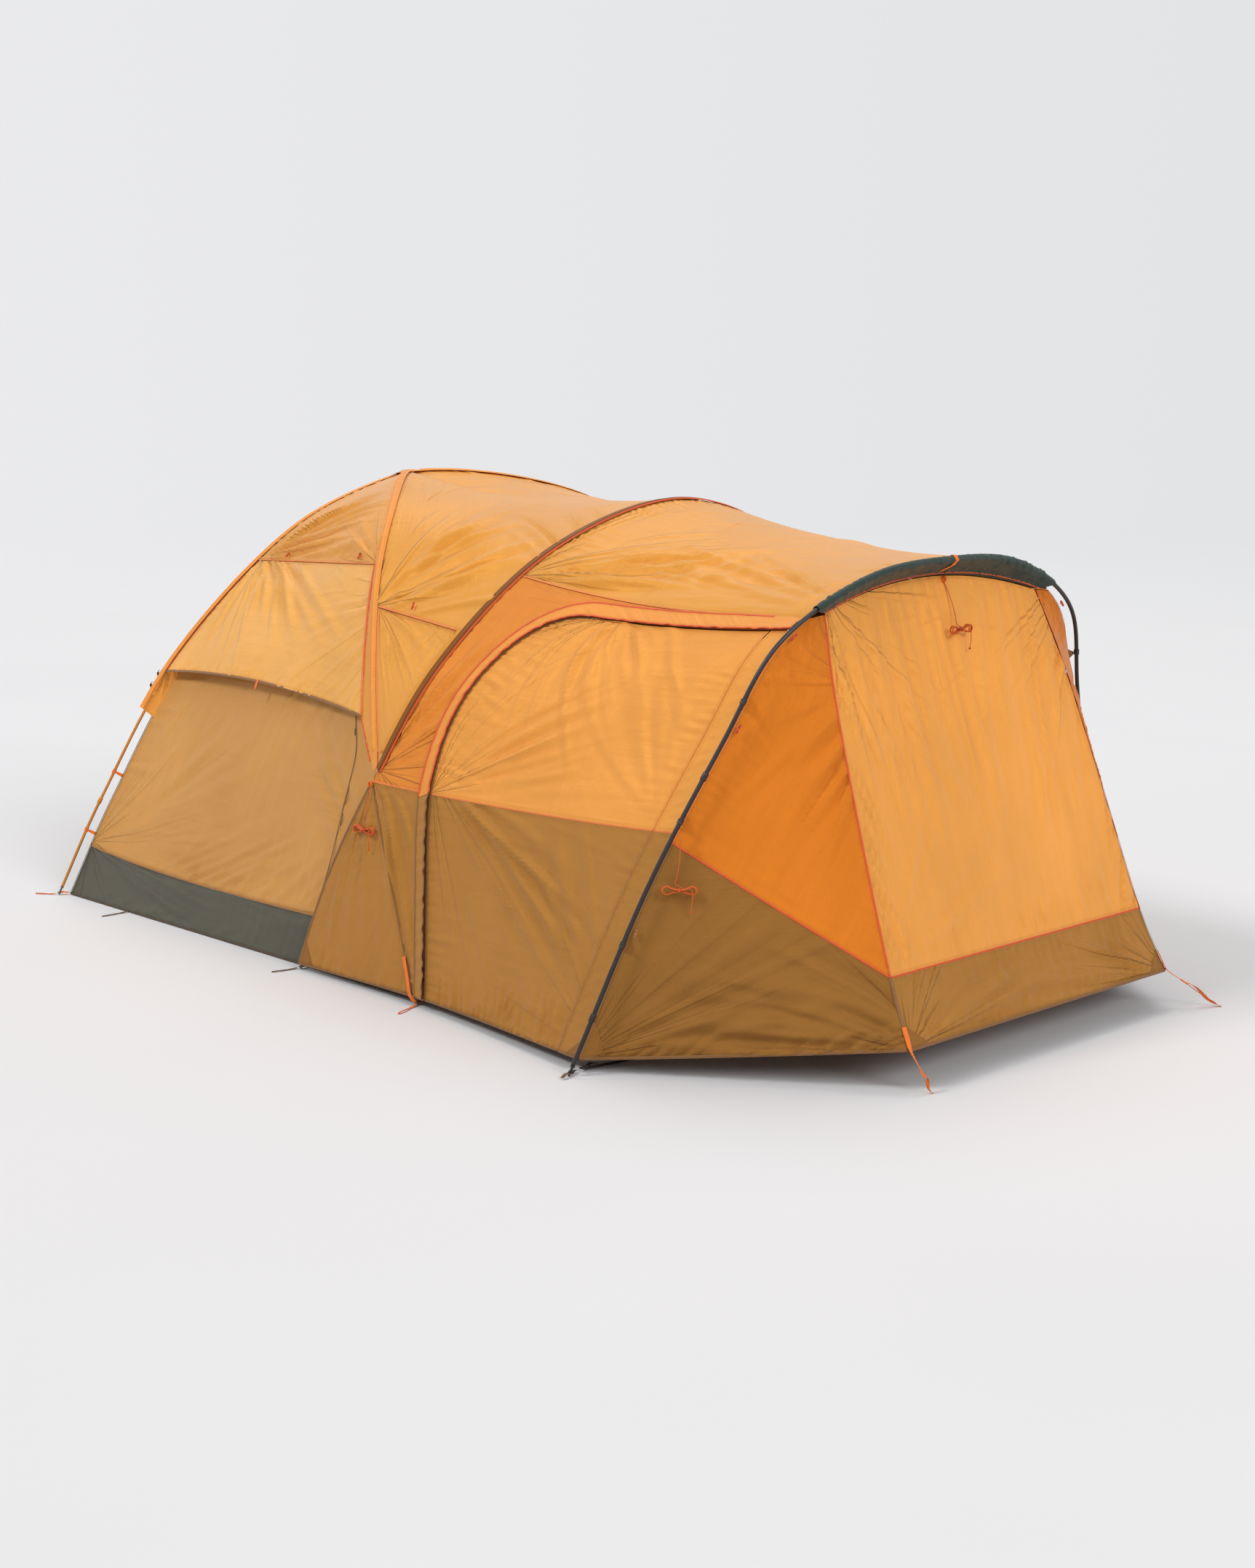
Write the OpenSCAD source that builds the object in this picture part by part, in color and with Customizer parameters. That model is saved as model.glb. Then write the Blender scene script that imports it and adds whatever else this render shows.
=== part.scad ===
// Six-person family tent: a two-pole dome cabin, a hoop and a front porch on a
// leaning arch pole. Millimetres. The origin is under the middle of the cabin's
// floor, +X points to the porch, +Z is up, and both sides are alike.

/* [Cabin] */
// Width of the cabin between pole feet
cabin_w = 2500; // [2300:10:2700]
// Length of the cabin between pole feet
cabin_l = 2575; // [2500:5:2650]
// Height at which the two dome poles cross
peak_h = 1875; // [1800:5:1940]
// Distance of that crossing from the rear feet
peak_x = 1030; // [980:5:1080]
// Height of the dark floor tray at the walls
tub_h = 230; // [150:5:300]
// Gap between a dome pole and the wall hung from it
wall_gap = 48; // [40:1:55]
// Height of the awning seams at the rear
seam_h = 1515; // [1450:5:1560]
// Rise of the side awning seams towards the front
seam_rise = 75; // [40:5:100]
// Height of the awning hems
hem_h = 1020; // [960:5:1100]

/* [Hoop] */
// Distance of the hoop's feet from the rear feet
hoop_foot_x = 1835; // [1780:5:1890]
// Distance of the hoop's top from the rear feet
hoop_top_x = 2690; // [2650:5:2740]
// Height of the hoop
hoop_h = 1842; // [1800:2:1880]
// Distance from the rear feet at which hoop and dome pole cross
cross_x = 2217; // [2190:1:2240]
// Half width of the tent at that crossing
cross_y = 1140; // [1120:5:1160]
// Height of that crossing and of the colour change
cross_h = 800; // [760:5:840]

/* [Porch] */
// Distance of the porch pole's feet from the rear feet
porch_x = 3640; // [3550:5:3750]
// Distance between the porch pole's feet
porch_w = 2900; // [2800:10:3000]
// Height of the porch pole
porch_h = 1706; // [1650:1:1760]
// Forward lean of the porch pole, as a share of its height
porch_lean = 0.26; // [0.2:0.01:0.3]
// Distance of the front hem from the rear feet
front_x = 4565; // [4480:5:4650]
// Width of the front hem
front_w = 1503; // [1420:1:1600]
// Height of the front hem over the ground
front_lift = 146; // [100:2:180]
// Height of the seam over the front skirt
skirt_h = 371; // [320:1:420]
// Distance of the porch door's lower rear corner from the rear feet
zip_x = 2650; // [2600:5:2700]

/* [Poles] */
// Diameter of the dome and hoop poles
dome_pole_d = 13; // [10:0.5:14]
// Diameter of the porch pole
porch_pole_d = 16; // [12:0.5:18]
// Width of the pole sleeves laid flat
sleeve_w = 44; // [36:1:52]
// Width of the webbing at the feet
web_w = 25; // [20:1:30]

/* [Cloth] */
// Thickness of a cloth panel
cloth = 4; // [3:0.5:5]
// Distance from a seam's line to each of the panels that meet there
seam_gap = 5; // [4:0.5:8]
// Width of the flap over the porch door's zip
storm_w = 50; // [40:1:60]

/* [Hidden] */

ORANGE = [0.98, 0.58, 0.18];
DEEP_ORANGE = [0.95, 0.42, 0.12];
TAN = [0.66, 0.46, 0.22];
GREY = [0.36, 0.38, 0.35];
BLACK = [0.14, 0.12, 0.12];
GOLD = [0.80, 0.52, 0.20];
MESH = [0.25, 0.24, 0.22];

// ---- curves -------------------------------------------------------------
function lerp(a, b, t) = a + (b - a) * t;
function unit(v) = v / norm(v);
function far(p) = [p.x, -p.y, p.z];
function far_side(c) = [for (p = c) far(p)];
function reverse(c) = [for (i = [len(c) - 1 : -1 : 0]) c[i]];
function tail(c) = [for (i = [1 : len(c) - 1]) c[i]];

// Smooth curve through all its knots; g0 and g1 steer its two ends
function curve_point(p0, p1, p2, p3, t) = 0.5 * (2 * p1 + (p2 - p0) * t
  + (2 * p0 - 5 * p1 + 4 * p2 - p3) * t * t + (3 * p1 - p0 - 3 * p2 + p3) * t * t * t);
function spline(k, g0 = undef, g1 = undef, n = 5) =
  let (e = len(k) - 1,
       a = is_undef(g0) ? 2 * k[0] - k[1] : g0,
       b = is_undef(g1) ? 2 * k[e] - k[e - 1] : g1,
       q = concat([a], k, [b]))
  [for (i = [1 : e]) for (j = [0 : n - 1])
     curve_point(q[i - 1], q[i], q[i + 1], q[i + 2], j / n), k[e]];

// Point at a share of a curve, and the share at which it reaches a height
function at(c, s) =
  let (x = max(0, min(1, s)) * (len(c) - 1), i = min(floor(x), len(c) - 2))
  lerp(c[i], c[i + 1], x - i);
function share_at(c, value, axis, i = 0) = i >= len(c) - 2 || c[i + 1][axis] >= value
  ? (i + (value - c[i][axis]) / (c[i + 1][axis] - c[i][axis])) / (len(c) - 1)
  : share_at(c, value, axis, i + 1);
function share_at_z(c, z) = share_at(c, z, 2);
function at_z(c, z) = at(c, share_at_z(c, z));
function evenly_along_x(c, n) = [for (i = [0 : n])
  at(c, share_at(c, lerp(c[0].x, c[len(c) - 1].x, i / n), 0))];
function stretch(c, s0, s1, n) = [for (i = [0 : n]) at(c, lerp(s0, s1, i / n))];

// A curve moved outwards from a point inside the tent
function proud(c, middle, d) = [for (p = c) p + d * unit(p - middle)];

// ---- frame lines --------------------------------------------------------
half_w = cabin_w / 2;
pole_gap = dome_pole_d / 2 + 1.5;   // half the distance between crossing poles
skin = dome_pole_d / 2 + pole_gap + 5;  // cloth's height over a pole's centre line

tip_r = 4.5;
tip_len = 36;
rear_x = -cabin_l / 2;
foot_rear = [rear_x, -half_w, tip_r];
foot_hoop = [rear_x + hoop_foot_x, -half_w, tip_r];
foot_front = [rear_x + cabin_l, -half_w, tip_r];
foot_porch = [rear_x + porch_x, -porch_w / 2, tip_r];
peak = [rear_x + peak_x, 0, peak_h];
cross_point = [rear_x + cross_x, -cross_y, cross_h];
hoop_top = [rear_x + hoop_top_x, 0, hoop_h];

// Knots given as shares of the plan and of the height of each arch
function rear_knot(s, h) = [lerp(foot_rear.x, peak.x, s), -half_w * (1 - s), peak_h * h];
function front_knot(s, w, h) = [lerp(peak.x, foot_front.x, s), -half_w * w, peak_h * h];
function hoop_knot(s, w, h) = [lerp(cross_point.x, hoop_top.x, s), -half_w * w, hoop_h * h];
function porch_knot(w, h) = [foot_porch.x + porch_lean * porch_h * h,
  -porch_w / 2 * w, porch_h * h];

function rear_half(lift) = spline([foot_rear, rear_knot(0.131, 0.243),
  rear_knot(0.35, 0.574), rear_knot(0.685, 0.876), peak + [0, 0, lift]],
  g1 = front_knot(0.343, 0.416, 0.955));
function front_half(lift, inward) = spline([foot_front,
  [lerp(cross_point.x, foot_front.x, 0.65), -half_w * 0.98, cross_h * 0.37],
  cross_point + [0, inward, 0], front_knot(0.559, 0.708, 0.759),
  front_knot(0.343, 0.416, 0.955), peak + [0, 0, lift]],
  g1 = far(rear_knot(0.685, 0.876)));
function hoop_half(outward) = spline([foot_hoop,
  [lerp(foot_hoop.x, cross_point.x, 0.47), -half_w * 0.97, cross_h * 0.52],
  cross_point - [0, outward, 0], hoop_knot(0.45, 0.79, 0.681),
  hoop_knot(0.873, 0.488, 0.906), hoop_top],
  g1 = far(hoop_knot(0.873, 0.488, 0.906)));
porch_half = spline([foot_porch, porch_knot(0.859, 0.379), porch_knot(0.697, 0.67),
  porch_knot(0.568, 0.865), porch_knot(0.297, 0.977), porch_knot(0, 1)],
  g1 = far(porch_knot(0.297, 0.977)));

// Cloth lines over the poles
dome_middle = [0, 0, peak_h * 0.26];
hoop_middle = [foot_front.x - 275, 0, hoop_h * 0.26];
crease_offset = [-22, 38, -6];
rear_line = proud(rear_half(pole_gap), dome_middle, skin);
front_line = proud(front_half(pole_gap, 0), dome_middle, skin);
hoop_line = proud(hoop_half(pole_gap), hoop_middle, skin);

// ---- cloth --------------------------------------------------------------
// A closed sheet on a grid of points, thickened inwards
function grid_normal(g, i, j) = unit(cross(
  g[min(i + 1, len(g) - 1)][j] - g[max(i - 1, 0)][j],
  g[i][min(j + 1, len(g[0]) - 1)] - g[i][max(j - 1, 0)]));
function raised(g, d) = [for (i = [0 : len(g) - 1])
  [for (j = [0 : len(g[0]) - 1]) g[i][j] + d * grid_normal(g, i, j)]];
module sheet(g, t = cloth) {
  u = len(g) - 1;
  v = len(g[0]) - 1;
  inner = raised(g, -t);
  n = (u + 1) * (v + 1);
  function id(i, j) = i * (v + 1) + j;
  function quad(a, b, c, d) = [[a, b, c], [a, c, d]];
  polyhedron(
    points = [for (side = [g, inner]) for (line = side) for (p = line) p],
    faces = [
      for (i = [0 : u - 1]) for (j = [0 : v - 1]) for (f = concat(
        quad(id(i, j), id(i, j + 1), id(i + 1, j + 1), id(i + 1, j)),
        quad(n + id(i, j), n + id(i + 1, j), n + id(i + 1, j + 1), n + id(i, j + 1)))) f,
      for (i = [0 : u - 1]) for (f = concat(
        quad(id(i, 0), id(i + 1, 0), n + id(i + 1, 0), n + id(i, 0)),
        quad(id(i + 1, v), id(i, v), n + id(i, v), n + id(i + 1, v)))) f,
      for (j = [0 : v - 1]) for (f = concat(
        quad(id(u, j), id(u, j + 1), n + id(u, j + 1), n + id(u, j)),
        quad(id(0, j + 1), id(0, j), n + id(0, j), n + id(0, j + 1)))) f],
    convexity = 6);
}

// Points from a to b, kept m0 and m1 short of them, with the middle pushed out
function span(a, b, n, m0 = seam_gap, m1 = seam_gap, belly = [0, 0, 0]) =
  let (d = norm(b - a))
  [for (i = [0 : n]) let (s = lerp(m0 / d, 1 - m1 / d, i / n))
     lerp(a, b, s) + 4 * s * (1 - s) * belly];
function turned(g) = [for (j = [0 : len(g[0]) - 1]) [for (i = [0 : len(g) - 1]) g[i][j]]];

// A grid whose rows run between two curves, from share a0, b0 to share a1, b1
function web(ca, cb, a0, a1, b0, b1, n, rows, m0 = seam_gap, m1 = seam_gap, belly = [0, 0, 0]) =
  turned([for (k = [0 : rows]) let (w = k / rows)
    span(at(ca, lerp(a0, a1, w)), at(cb, lerp(b0, b1, w)), n, m0, m1, belly)]);

// ---- straps, tubes and small shapes --------------------------------------
module along(a, b) {
  d = b - a;
  translate(a) rotate([0, acos(d.z / norm(d)), atan2(d.y, d.x)]) children();
}
// Flat strap from a to b; its width lies across the direction of its run in plan
module strap(a, b, w = web_w, t = 2) {
  along(a, b) translate([-t / 2, -w / 2, 0]) cube([t, w, norm(b - a)]);
}
module rod(a, b, r) {
  along(a, b) cylinder(r = r, h = norm(b - a), $fn = 12);
}
// Tube with flat ends swept along points, by turning a fixed side vector
module sweep(path, r, side, sides = 8) {
  n = len(path);
  rings = [for (i = [0 : n - 1])
    let (t = unit(path[min(i + 1, n - 1)] - path[max(i - 1, 0)]),
         x = unit(cross(t, side)), y = cross(t, x))
    for (k = [0 : sides - 1]) path[i] + r * (cos(360 * k / sides) * x + sin(360 * k / sides) * y)];
  walls = [for (i = [0 : n - 2]) for (k = [0 : sides - 1])
    let (a = i * sides + k, b = i * sides + (k + 1) % sides)
    for (f = [[a, a + sides, b], [b, a + sides, b + sides]]) f];
  polyhedron(points = rings, faces = concat(walls,
    [[for (k = [0 : sides - 1]) k]], [[for (k = [sides - 1 : -1 : 0]) (n - 1) * sides + k]]),
    convexity = 10);
}
module both_sides() {
  children();
  mirror([0, 1, 0]) children();
}

// ---- poles ----------------------------------------------------------------
// The tube starts above its tip at both feet
function shaft(c) = let (n = len(c))
  [c[0] + tip_len * unit(c[1] - c[0]), for (i = [1 : n - 2]) c[i],
   c[n - 1] + tip_len * unit(c[n - 2] - c[n - 1])];
dome_a = concat(rear_half(pole_gap), tail(reverse(far_side(front_half(pole_gap, pole_gap)))));
dome_b = concat(rear_half(-pole_gap), tail(reverse(far_side(front_half(-pole_gap, pole_gap)))));
hoop_arch = concat(hoop_half(pole_gap), tail(reverse(far_side(hoop_half(pole_gap)))));
porch_arch = concat(porch_half, tail(reverse(far_side(porch_half))));

module dome_pole_a() { color(GOLD) sweep(shaft(dome_a), dome_pole_d / 2, [0.7, -0.7, 0]); }
module dome_pole_b() {
  color(GOLD) mirror([0, 1, 0]) sweep(shaft(dome_b), dome_pole_d / 2, [0.7, -0.7, 0]);
}
module hoop_pole() { color(GOLD) sweep(shaft(hoop_arch), dome_pole_d / 2, [1, 0, 0]); }
module porch_pole() { color(BLACK) sweep(shaft(porch_arch), porch_pole_d / 2, [1, 0, 0]); }

// Turned tip: a ball on the ground, a shank and a shoulder under the tube
module tip(c, d) {
  along(c[0], c[1]) color("silver") rotate_extrude($fn = 16) {
    intersection() {
      circle(r = tip_r, $fn = 20);
      translate([0, -tip_r]) square([tip_r, 2 * tip_r]);
    }
    square([tip_r, tip_len - 6]);
    translate([0, tip_len - 6]) square([d / 2 + 0.5, 6]);
  }
}
module pole_tips() {
  both_sides() {
    tip(rear_half(pole_gap), dome_pole_d);
    tip(front_half(pole_gap, pole_gap), dome_pole_d);
    tip(hoop_half(pole_gap), dome_pole_d);
    tip(porch_half, porch_pole_d);
  }
}

// Collars where the pole sections join
ferrule_len = 30;
rear_ferrule_h = 432;
porch_ferrule_h = [205, 1030];
module ferrule(c, z, d) {
  s = share_at_z(c, z);
  p = at(c, s);
  t = unit(at(c, s + 0.02) - at(c, s - 0.02)) * ferrule_len / 2;
  along(p - t, p + t) difference() {
    cylinder(r = d / 2 + 2.8, h = ferrule_len, $fn = 16);
    translate([0, 0, -1]) cylinder(r = d / 2 + 1.2, h = ferrule_len + 2, $fn = 16);
  }
}
module pole_ferrules() {
  color(GOLD) both_sides() ferrule(rear_half(pole_gap), rear_ferrule_h, dome_pole_d);
  color(BLACK) both_sides() for (z = porch_ferrule_h) ferrule(porch_half, z, porch_pole_d);
}

dome_pole_a();
dome_pole_b();
hoop_pole();
porch_pole();
pole_tips();
pole_ferrules();

// ---- feet and clips --------------------------------------------------------
ring_h = 3;
ring_z = 9;
// Where the floor's corner and the hems come down beside each foot
function wall_rear(z) = at_z(rear_line, z) + [wall_gap, wall_gap, 0];
function wall_front(z) = at_z(front_line, z) + [-wall_gap, wall_gap, 0];
module grommet(c) {
  t = (ring_z + ring_h / 2 - tip_r) / unit(c[1] - c[0]).z;
  translate(c[0] + t * unit(c[1] - c[0]) - [0, 0, ring_h / 2]) difference() {
    cylinder(r = 11, h = ring_h, $fn = 16);
    translate([0, 0, -1]) cylinder(r = tip_r + 1.2, h = ring_h + 2, $fn = 16);
  }
}
module foot_grommets() {
  color("silver") both_sides() {
    grommet(rear_half(0));
    grommet(front_half(0, 0));
    grommet(hoop_half(0));
    grommet(porch_half);
  }
}
// Webbing from the cloth's corner to the ring round the tip
module foot_web(c, anchor) {
  t = (ring_z - tip_r) / unit(c[1] - c[0]).z;
  eye = c[0] + t * unit(c[1] - c[0]);
  d = unit([anchor.x - eye.x, anchor.y - eye.y, 0]);
  start = [eye.x, eye.y, ring_z] + d * 11.5;
  strap(start, [anchor.x, anchor.y, ring_z]);
}
foot_web_len = 30;
module foot_webbing() {
  both_sides() {
    color(DEEP_ORANGE) foot_web(rear_half(0), foot_rear + [foot_web_len, foot_web_len, 0]);
    color(DEEP_ORANGE) foot_web(front_half(0, 0), foot_front + [-foot_web_len, foot_web_len, 0]);
    color(TAN) foot_web(hoop_half(0), foot_hoop + [0, foot_web_len, 0]);
    color(BLACK) foot_web(porch_half, foot_porch + [-20, foot_web_len + 14, 0]);
  }
}

// Clips that hang the walls from the open stretch of the rear legs
clip_len = 30;
clip_heights = [300, 565];
module pole_clip(c, z, d, inward) {
  s = share_at_z(c, z);
  p = at(c, s);
  t = unit(at(c, s + 0.02) - at(c, s - 0.02)) * clip_len / 2;
  along(p - t, p + t) difference() {
    cylinder(r = d / 2 + 3, h = clip_len, $fn = 16);
    translate([0, 0, -1]) cylinder(r = d / 2 + 0.7, h = clip_len + 2, $fn = 16);
  }
  // webbing from the ring to the cloth, square to the pole
  a = unit(t);
  n = unit(inward - a * (inward * a));
  b = cross(a, n);
  multmatrix([[n.x, b.x, a.x, p.x], [n.y, b.y, a.y, p.y], [n.z, b.z, a.z, p.z], [0, 0, 0, 1]])
    translate([d / 2 + 1.8, -1, -8]) cube([inward * n - d / 2 - 5, 2, 16]);
}
module leg_clips() {
  color(DEEP_ORANGE) both_sides() for (z = clip_heights)
    pole_clip(rear_half(pole_gap), z, dome_pole_d,
      wall_rear(z) - at_z(rear_half(pole_gap), z));
}
porch_clip_heights = [460, 880, 1280];
module porch_clips() {
  color(BLACK) both_sides() for (z = porch_clip_heights)
    pole_clip(porch_half, z, porch_pole_d, crease_offset);
}

// ---- cabin ------------------------------------------------------------------
under = 45;          // the walls stop this far under an awning seam
window_h = 1130;     // lower edge of the mesh windows
tray_t = 3;
// Rows of a wall between two corner curves, given as functions of height
function wall_rows(lo, hi, rows, n, kind) = turned([for (k = [0 : rows])
  let (z = lerp(lo, hi, k / rows))
  kind == "side" ? span(wall_rear(z), wall_front(z), n) :
  kind == "rear" ? span(far(wall_rear(z)), wall_rear(z), n) :
                   span(wall_front(z), far(wall_front(z)), n)]);
module tub_floor() {
  color(GREY) {
    // groundsheet
    linear_extrude(tray_t) polygon([for (p = [wall_rear(tray_t), wall_front(tray_t),
      far(wall_front(tray_t)), far(wall_rear(tray_t))]) [p.x, p.y]]);
    for (kind = ["side", "rear", "front"]) sheet(wall_rows(tray_t, tub_h, 2, 4, kind));
    mirror([0, 1, 0]) sheet(wall_rows(tray_t, tub_h, 2, 4, "side"));
  }
}
module wall(kind) {
  color(TAN) sheet(wall_rows(tub_h + 2, window_h - 4, 4, 6, kind));
}
module window(kind, top) {
  color(MESH) sheet(wall_rows(window_h, top - under, 3, 6, kind));
}
module rear_wall() { wall("rear"); }
module side_wall_near() { wall("side"); }
module side_wall_far() { mirror([0, 1, 0]) wall("side"); }
module mesh_windows() {
  window("rear", seam_h);
  both_sides() window("side", seam_h);
}

// The front wall leans back between the front legs and has a doorway
door_half = 480;
sill = tub_h + 30;
lintel = 1330;
front_top = 1640;
function front_row(z, y0, y1, n) = let (x = wall_front(z).x)
  [for (i = [0 : n]) [x, lerp(y0, y1, i / n), z]];
module front_part(z0, z1, y0, y1, rows, n) {
  sheet(turned([for (k = [0 : rows]) let (z = lerp(z0, z1, k / rows))
    front_row(z, is_undef(y0) ? wall_front(z).y + seam_gap : y0,
      is_undef(y1) ? -wall_front(z).y - seam_gap : y1, n)]));
}
module front_wall() {
  color(TAN) {
    front_part(tub_h + 2, front_top, undef, -door_half, 6, 2);
    front_part(tub_h + 2, front_top, door_half, undef, 6, 2);
    front_part(tub_h + 2, sill, -door_half, door_half, 1, 2);
    front_part(lintel, front_top, -door_half, door_half, 2, 2);
  }
}
// A flat door leaf in the leaning doorway, hung at its near edge
module cabin_door() {
  g = seam_gap;
  lo = front_row(sill + g, -door_half + g, door_half - g, 2);
  hi = front_row(lintel - g, -door_half + g, door_half - g, 2);
  color(MESH) sheet(turned([lo, hi]));
}

// ---- dome roof ----------------------------------------------------------------
top_share = 0.985;   // the panels stop this short of the peak
function seam_front() = seam_h + seam_rise;
rear_seam = share_at_z(rear_line, seam_h);
front_seam = share_at_z(front_line, seam_front());
roof_belly = [0, -12, 6];
rear_belly = [-15, 0, 6];
gusset_w = 88;       // width of the roof's edge beside the awning's lower corner
// Roof cloth between two curves: straight at the awning's seam, full above it
function roof_span(ca, cb, a0, b0, w, n, belly) =
  span(at(ca, lerp(a0, top_share, w)), at(cb, lerp(b0, top_share, w)), n,
    belly = belly * 6.75 * w * pow(1 - w, 2));
roof_rows_n = 7;
module roof_sheet(ca, cb, a0, b0, belly) {
  sheet(turned([for (k = [0 : roof_rows_n])
    roof_span(ca, cb, a0, b0, k / roof_rows_n, 6, belly)]));
}
module side_roof() {
  color(ORANGE) {
    roof_sheet(rear_line, front_line, rear_seam, front_seam, roof_belly);
    // the roof's edge runs on down to the crossing, beside the awning
    sheet(turned([for (z = [cross_h + 70, lerp(cross_h, hem_h, 0.7),
        for (k = [0 : 4]) lerp(hem_h, seam_front() - 4, k / 4)])
      let (b = at_z(front_line, z), a = at_z(rear_line, min(z, seam_h)), d = unit(a - b),
           w = z < hem_h ? lerp(12, gusset_w, (z - cross_h) / (hem_h - cross_h))
                         : lerp(gusset_w, awning_side - 8, (z - hem_h) / (seam_front() - hem_h)))
      [b + d * w, b + d * seam_gap]]));
  }
}
module roof_near() { side_roof(); }
module roof_far() { mirror([0, 1, 0]) side_roof(); }
module roof_rear() {
  color(ORANGE) roof_sheet(far_side(rear_line), rear_line, rear_seam, rear_seam, rear_belly);
}

// Awnings hang from straight seams and swing up
hem_arch = 52;
awning_side = 34;
function awning(ca, cb, za, zb, end_side) = turned([for (k = [0 : 4])
  let (w = k / 4, a = at_z(ca, lerp(hem_h, za, w)), b = at_z(cb, lerp(hem_h, zb, w)))
  span(a, b, 6, awning_side, lerp(end_side, awning_side, w), [0, 0, hem_arch * (1 - w)])]);
function lowered(g, d) = [for (line = g) [for (j = [0 : len(line) - 1])
  j == len(line) - 1 ? line[j] - d * unit(line[j] - line[j - 1]) : line[j]]];
module awning_near() {
  color(ORANGE) sheet(lowered(awning(rear_line, front_line, seam_h, seam_front(), gusset_w + 4), seam_gap));
}
module awning_far() { mirror([0, 1, 0]) awning_near(); }
module awning_rear() {
  color(ORANGE) sheet(lowered(awning(far_side(rear_line), rear_line, seam_h, seam_h, awning_side), seam_gap));
}

// Three-sided vents between the dome pole and the hoop
vent_front_h = 1440;
vent_hoop_h = 1385;
vent_foot = 115;     // the vent stops this far above the crossing
vent_side = 34;
function vent_rows() = turned([for (k = [0 : 4])
  let (w = k / 4,
       a = at_z(front_line, lerp(cross_h + vent_foot, vent_front_h, w)),
       b = at_z(hoop_line, lerp(cross_h + vent_foot, vent_hoop_h, w)),
       m = min(vent_side, norm(b - a) * 0.3))
  span(a, b, 4, m, m)]);
module vent_flap_near() { color(ORANGE) sheet(lowered(vent_rows(), seam_gap)); }
module vent_flap_far() { mirror([0, 1, 0]) vent_flap_near(); }

// Roof between the dome poles' front halves and the hoop, saddle shaped
front_sag = 60;
module roof_front() {
  m = 5;
  half = [for (k = [0 : m]) let (w = k / m)
    span(at(front_line, lerp(vent_share, 1, w)), at(hoop_line, lerp(hoop_share, 1, w)), 7,
      seam_gap, seam_gap, [0, 0, -front_sag * w])];
  color(ORANGE) sheet(turned(concat(half,
    [for (k = [m - 1 : -1 : 0]) [for (p = half[k]) far(p)]])));
}

// Strips sewn over the poles; ahead and behind give, for a share of the pole's line,
// the point that the cloth on each side runs to
strip_lift = 6.5;
strip_t = 2;
function beside(p, t, q) = unit(q - p - t * (t * (q - p)));
function strip(c, s0, s1, n, ahead, behind) = [for (i = [0 : n])
  let (s = lerp(s0, s1, i / n), p = at(c, s), t = unit(at(c, s + 0.01) - at(c, s - 0.01)),
       q = p + unit(p - dome_middle) * strip_lift)
  [q + beside(p, t, ahead(s)) * sleeve_w / 2, q, q + beside(p, t, behind(s)) * sleeve_w / 2]];
// The point of curve b that pairs with share s of curve a, above shares a0 and b0
function paired(a, b, s, a0, b0, top) =
  s < a0 ? at_z(b, at(a, s).z) : at(b, lerp(b0, top, min(1, (s - a0) / (top - a0))));
vent_share = share_at_z(front_line, vent_front_h);
hoop_share = share_at_z(hoop_line, vent_hoop_h);
sleeve_foot_h = 856;
sleeve_top = 0.955;   // share at which the strips end below the peak's patch
module dome_sleeves() {
  color(DEEP_ORANGE) both_sides() {
    sheet(strip(rear_line, share_at_z(rear_line, sleeve_foot_h), sleeve_top, 20,
      function (s) paired(rear_line, front_line, s, rear_seam, front_seam, top_share),
      function (s) far(at(rear_line, s))), strip_t);
    sheet(strip(front_line, share_at_z(front_line, cross_h + 50), sleeve_top, 22,
      function (s) paired(front_line, hoop_line, s, vent_share, hoop_share, 1),
      function (s) paired(front_line, rear_line, s, front_seam, rear_seam, top_share)), strip_t);
  }
  peak_patch();
}
module hoop_sleeve() {
  side_share = share_at_z(hoop_line, side_seam_h);
  half = strip(hoop_line, share_at_z(hoop_line, cross_h + 50), 1, 20,
    function (s) s < side_share ? at_z(crease_line, at(hoop_line, s).z)
      : at(band_arc, (s - side_share) / (1 - side_share) / 2),
    function (s) paired(hoop_line, front_line, s, hoop_share, vent_share, 1));
  all = concat(half, [for (i = [len(half) - 2 : -1 : 0]) [for (q = half[i]) far(q)]]);
  color(TAN) sheet(all, strip_t);
}
patch_w = 90;
module peak_patch() {
  p = proud([peak + [0, 0, pole_gap]], dome_middle, skin + strip_lift * 2 + 2)[0];
  color(DEEP_ORANGE) translate([p.x, p.y, p.z]) rotate([0, -8, 0])
    linear_extrude(2) square(patch_w, center = true);
}

// ---- porch side -----------------------------------------------------------------
// Near side cloth between hoop, roof seam, porch pole and hem, as a surface of two
// shares: u from the hoop to the crease beside the porch pole, v from hem to roof seam
side_seam_h = 1600;
crease_foot_h = 55;
crease_top_h = 1550;
crease_line = [for (i = [0 : 16])
  at_z(porch_half, lerp(crease_foot_h, crease_top_h, i / 16)) + crease_offset];
hoop_hem = 28;
edge_hoop = stretch(hoop_line, share_at_z(hoop_line, hoop_hem),
  share_at_z(hoop_line, side_seam_h), 16);
zip_foot_x = rear_x + zip_x;
hem_line = evenly_along_x(spline([edge_hoop[0], [zip_foot_x, -half_w - 27, 38],
  crease_line[0]]), 12);
seam_sag = [0, -20, -36];
seam_line = span(edge_hoop[16], crease_line[16], 12, 0, 0, seam_sag);
function side_point(u, v) = lerp(at(edge_hoop, v), at(crease_line, v), u)
  + lerp(at(hem_line, u), at(seam_line, u), v)
  - lerp(lerp(edge_hoop[0], crease_line[0], u), lerp(edge_hoop[16], crease_line[16], u), v);
function side_v(z) = share_at_z([for (i = [0 : 16]) side_point(0.5, i / 16)], z);
side_len = norm(side_point(0.5, 1) - side_point(0.5, 0));
function side_u(x, v) = share_at([for (i = [0 : 16]) side_point(i / 16, v)], x, 0);

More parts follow.
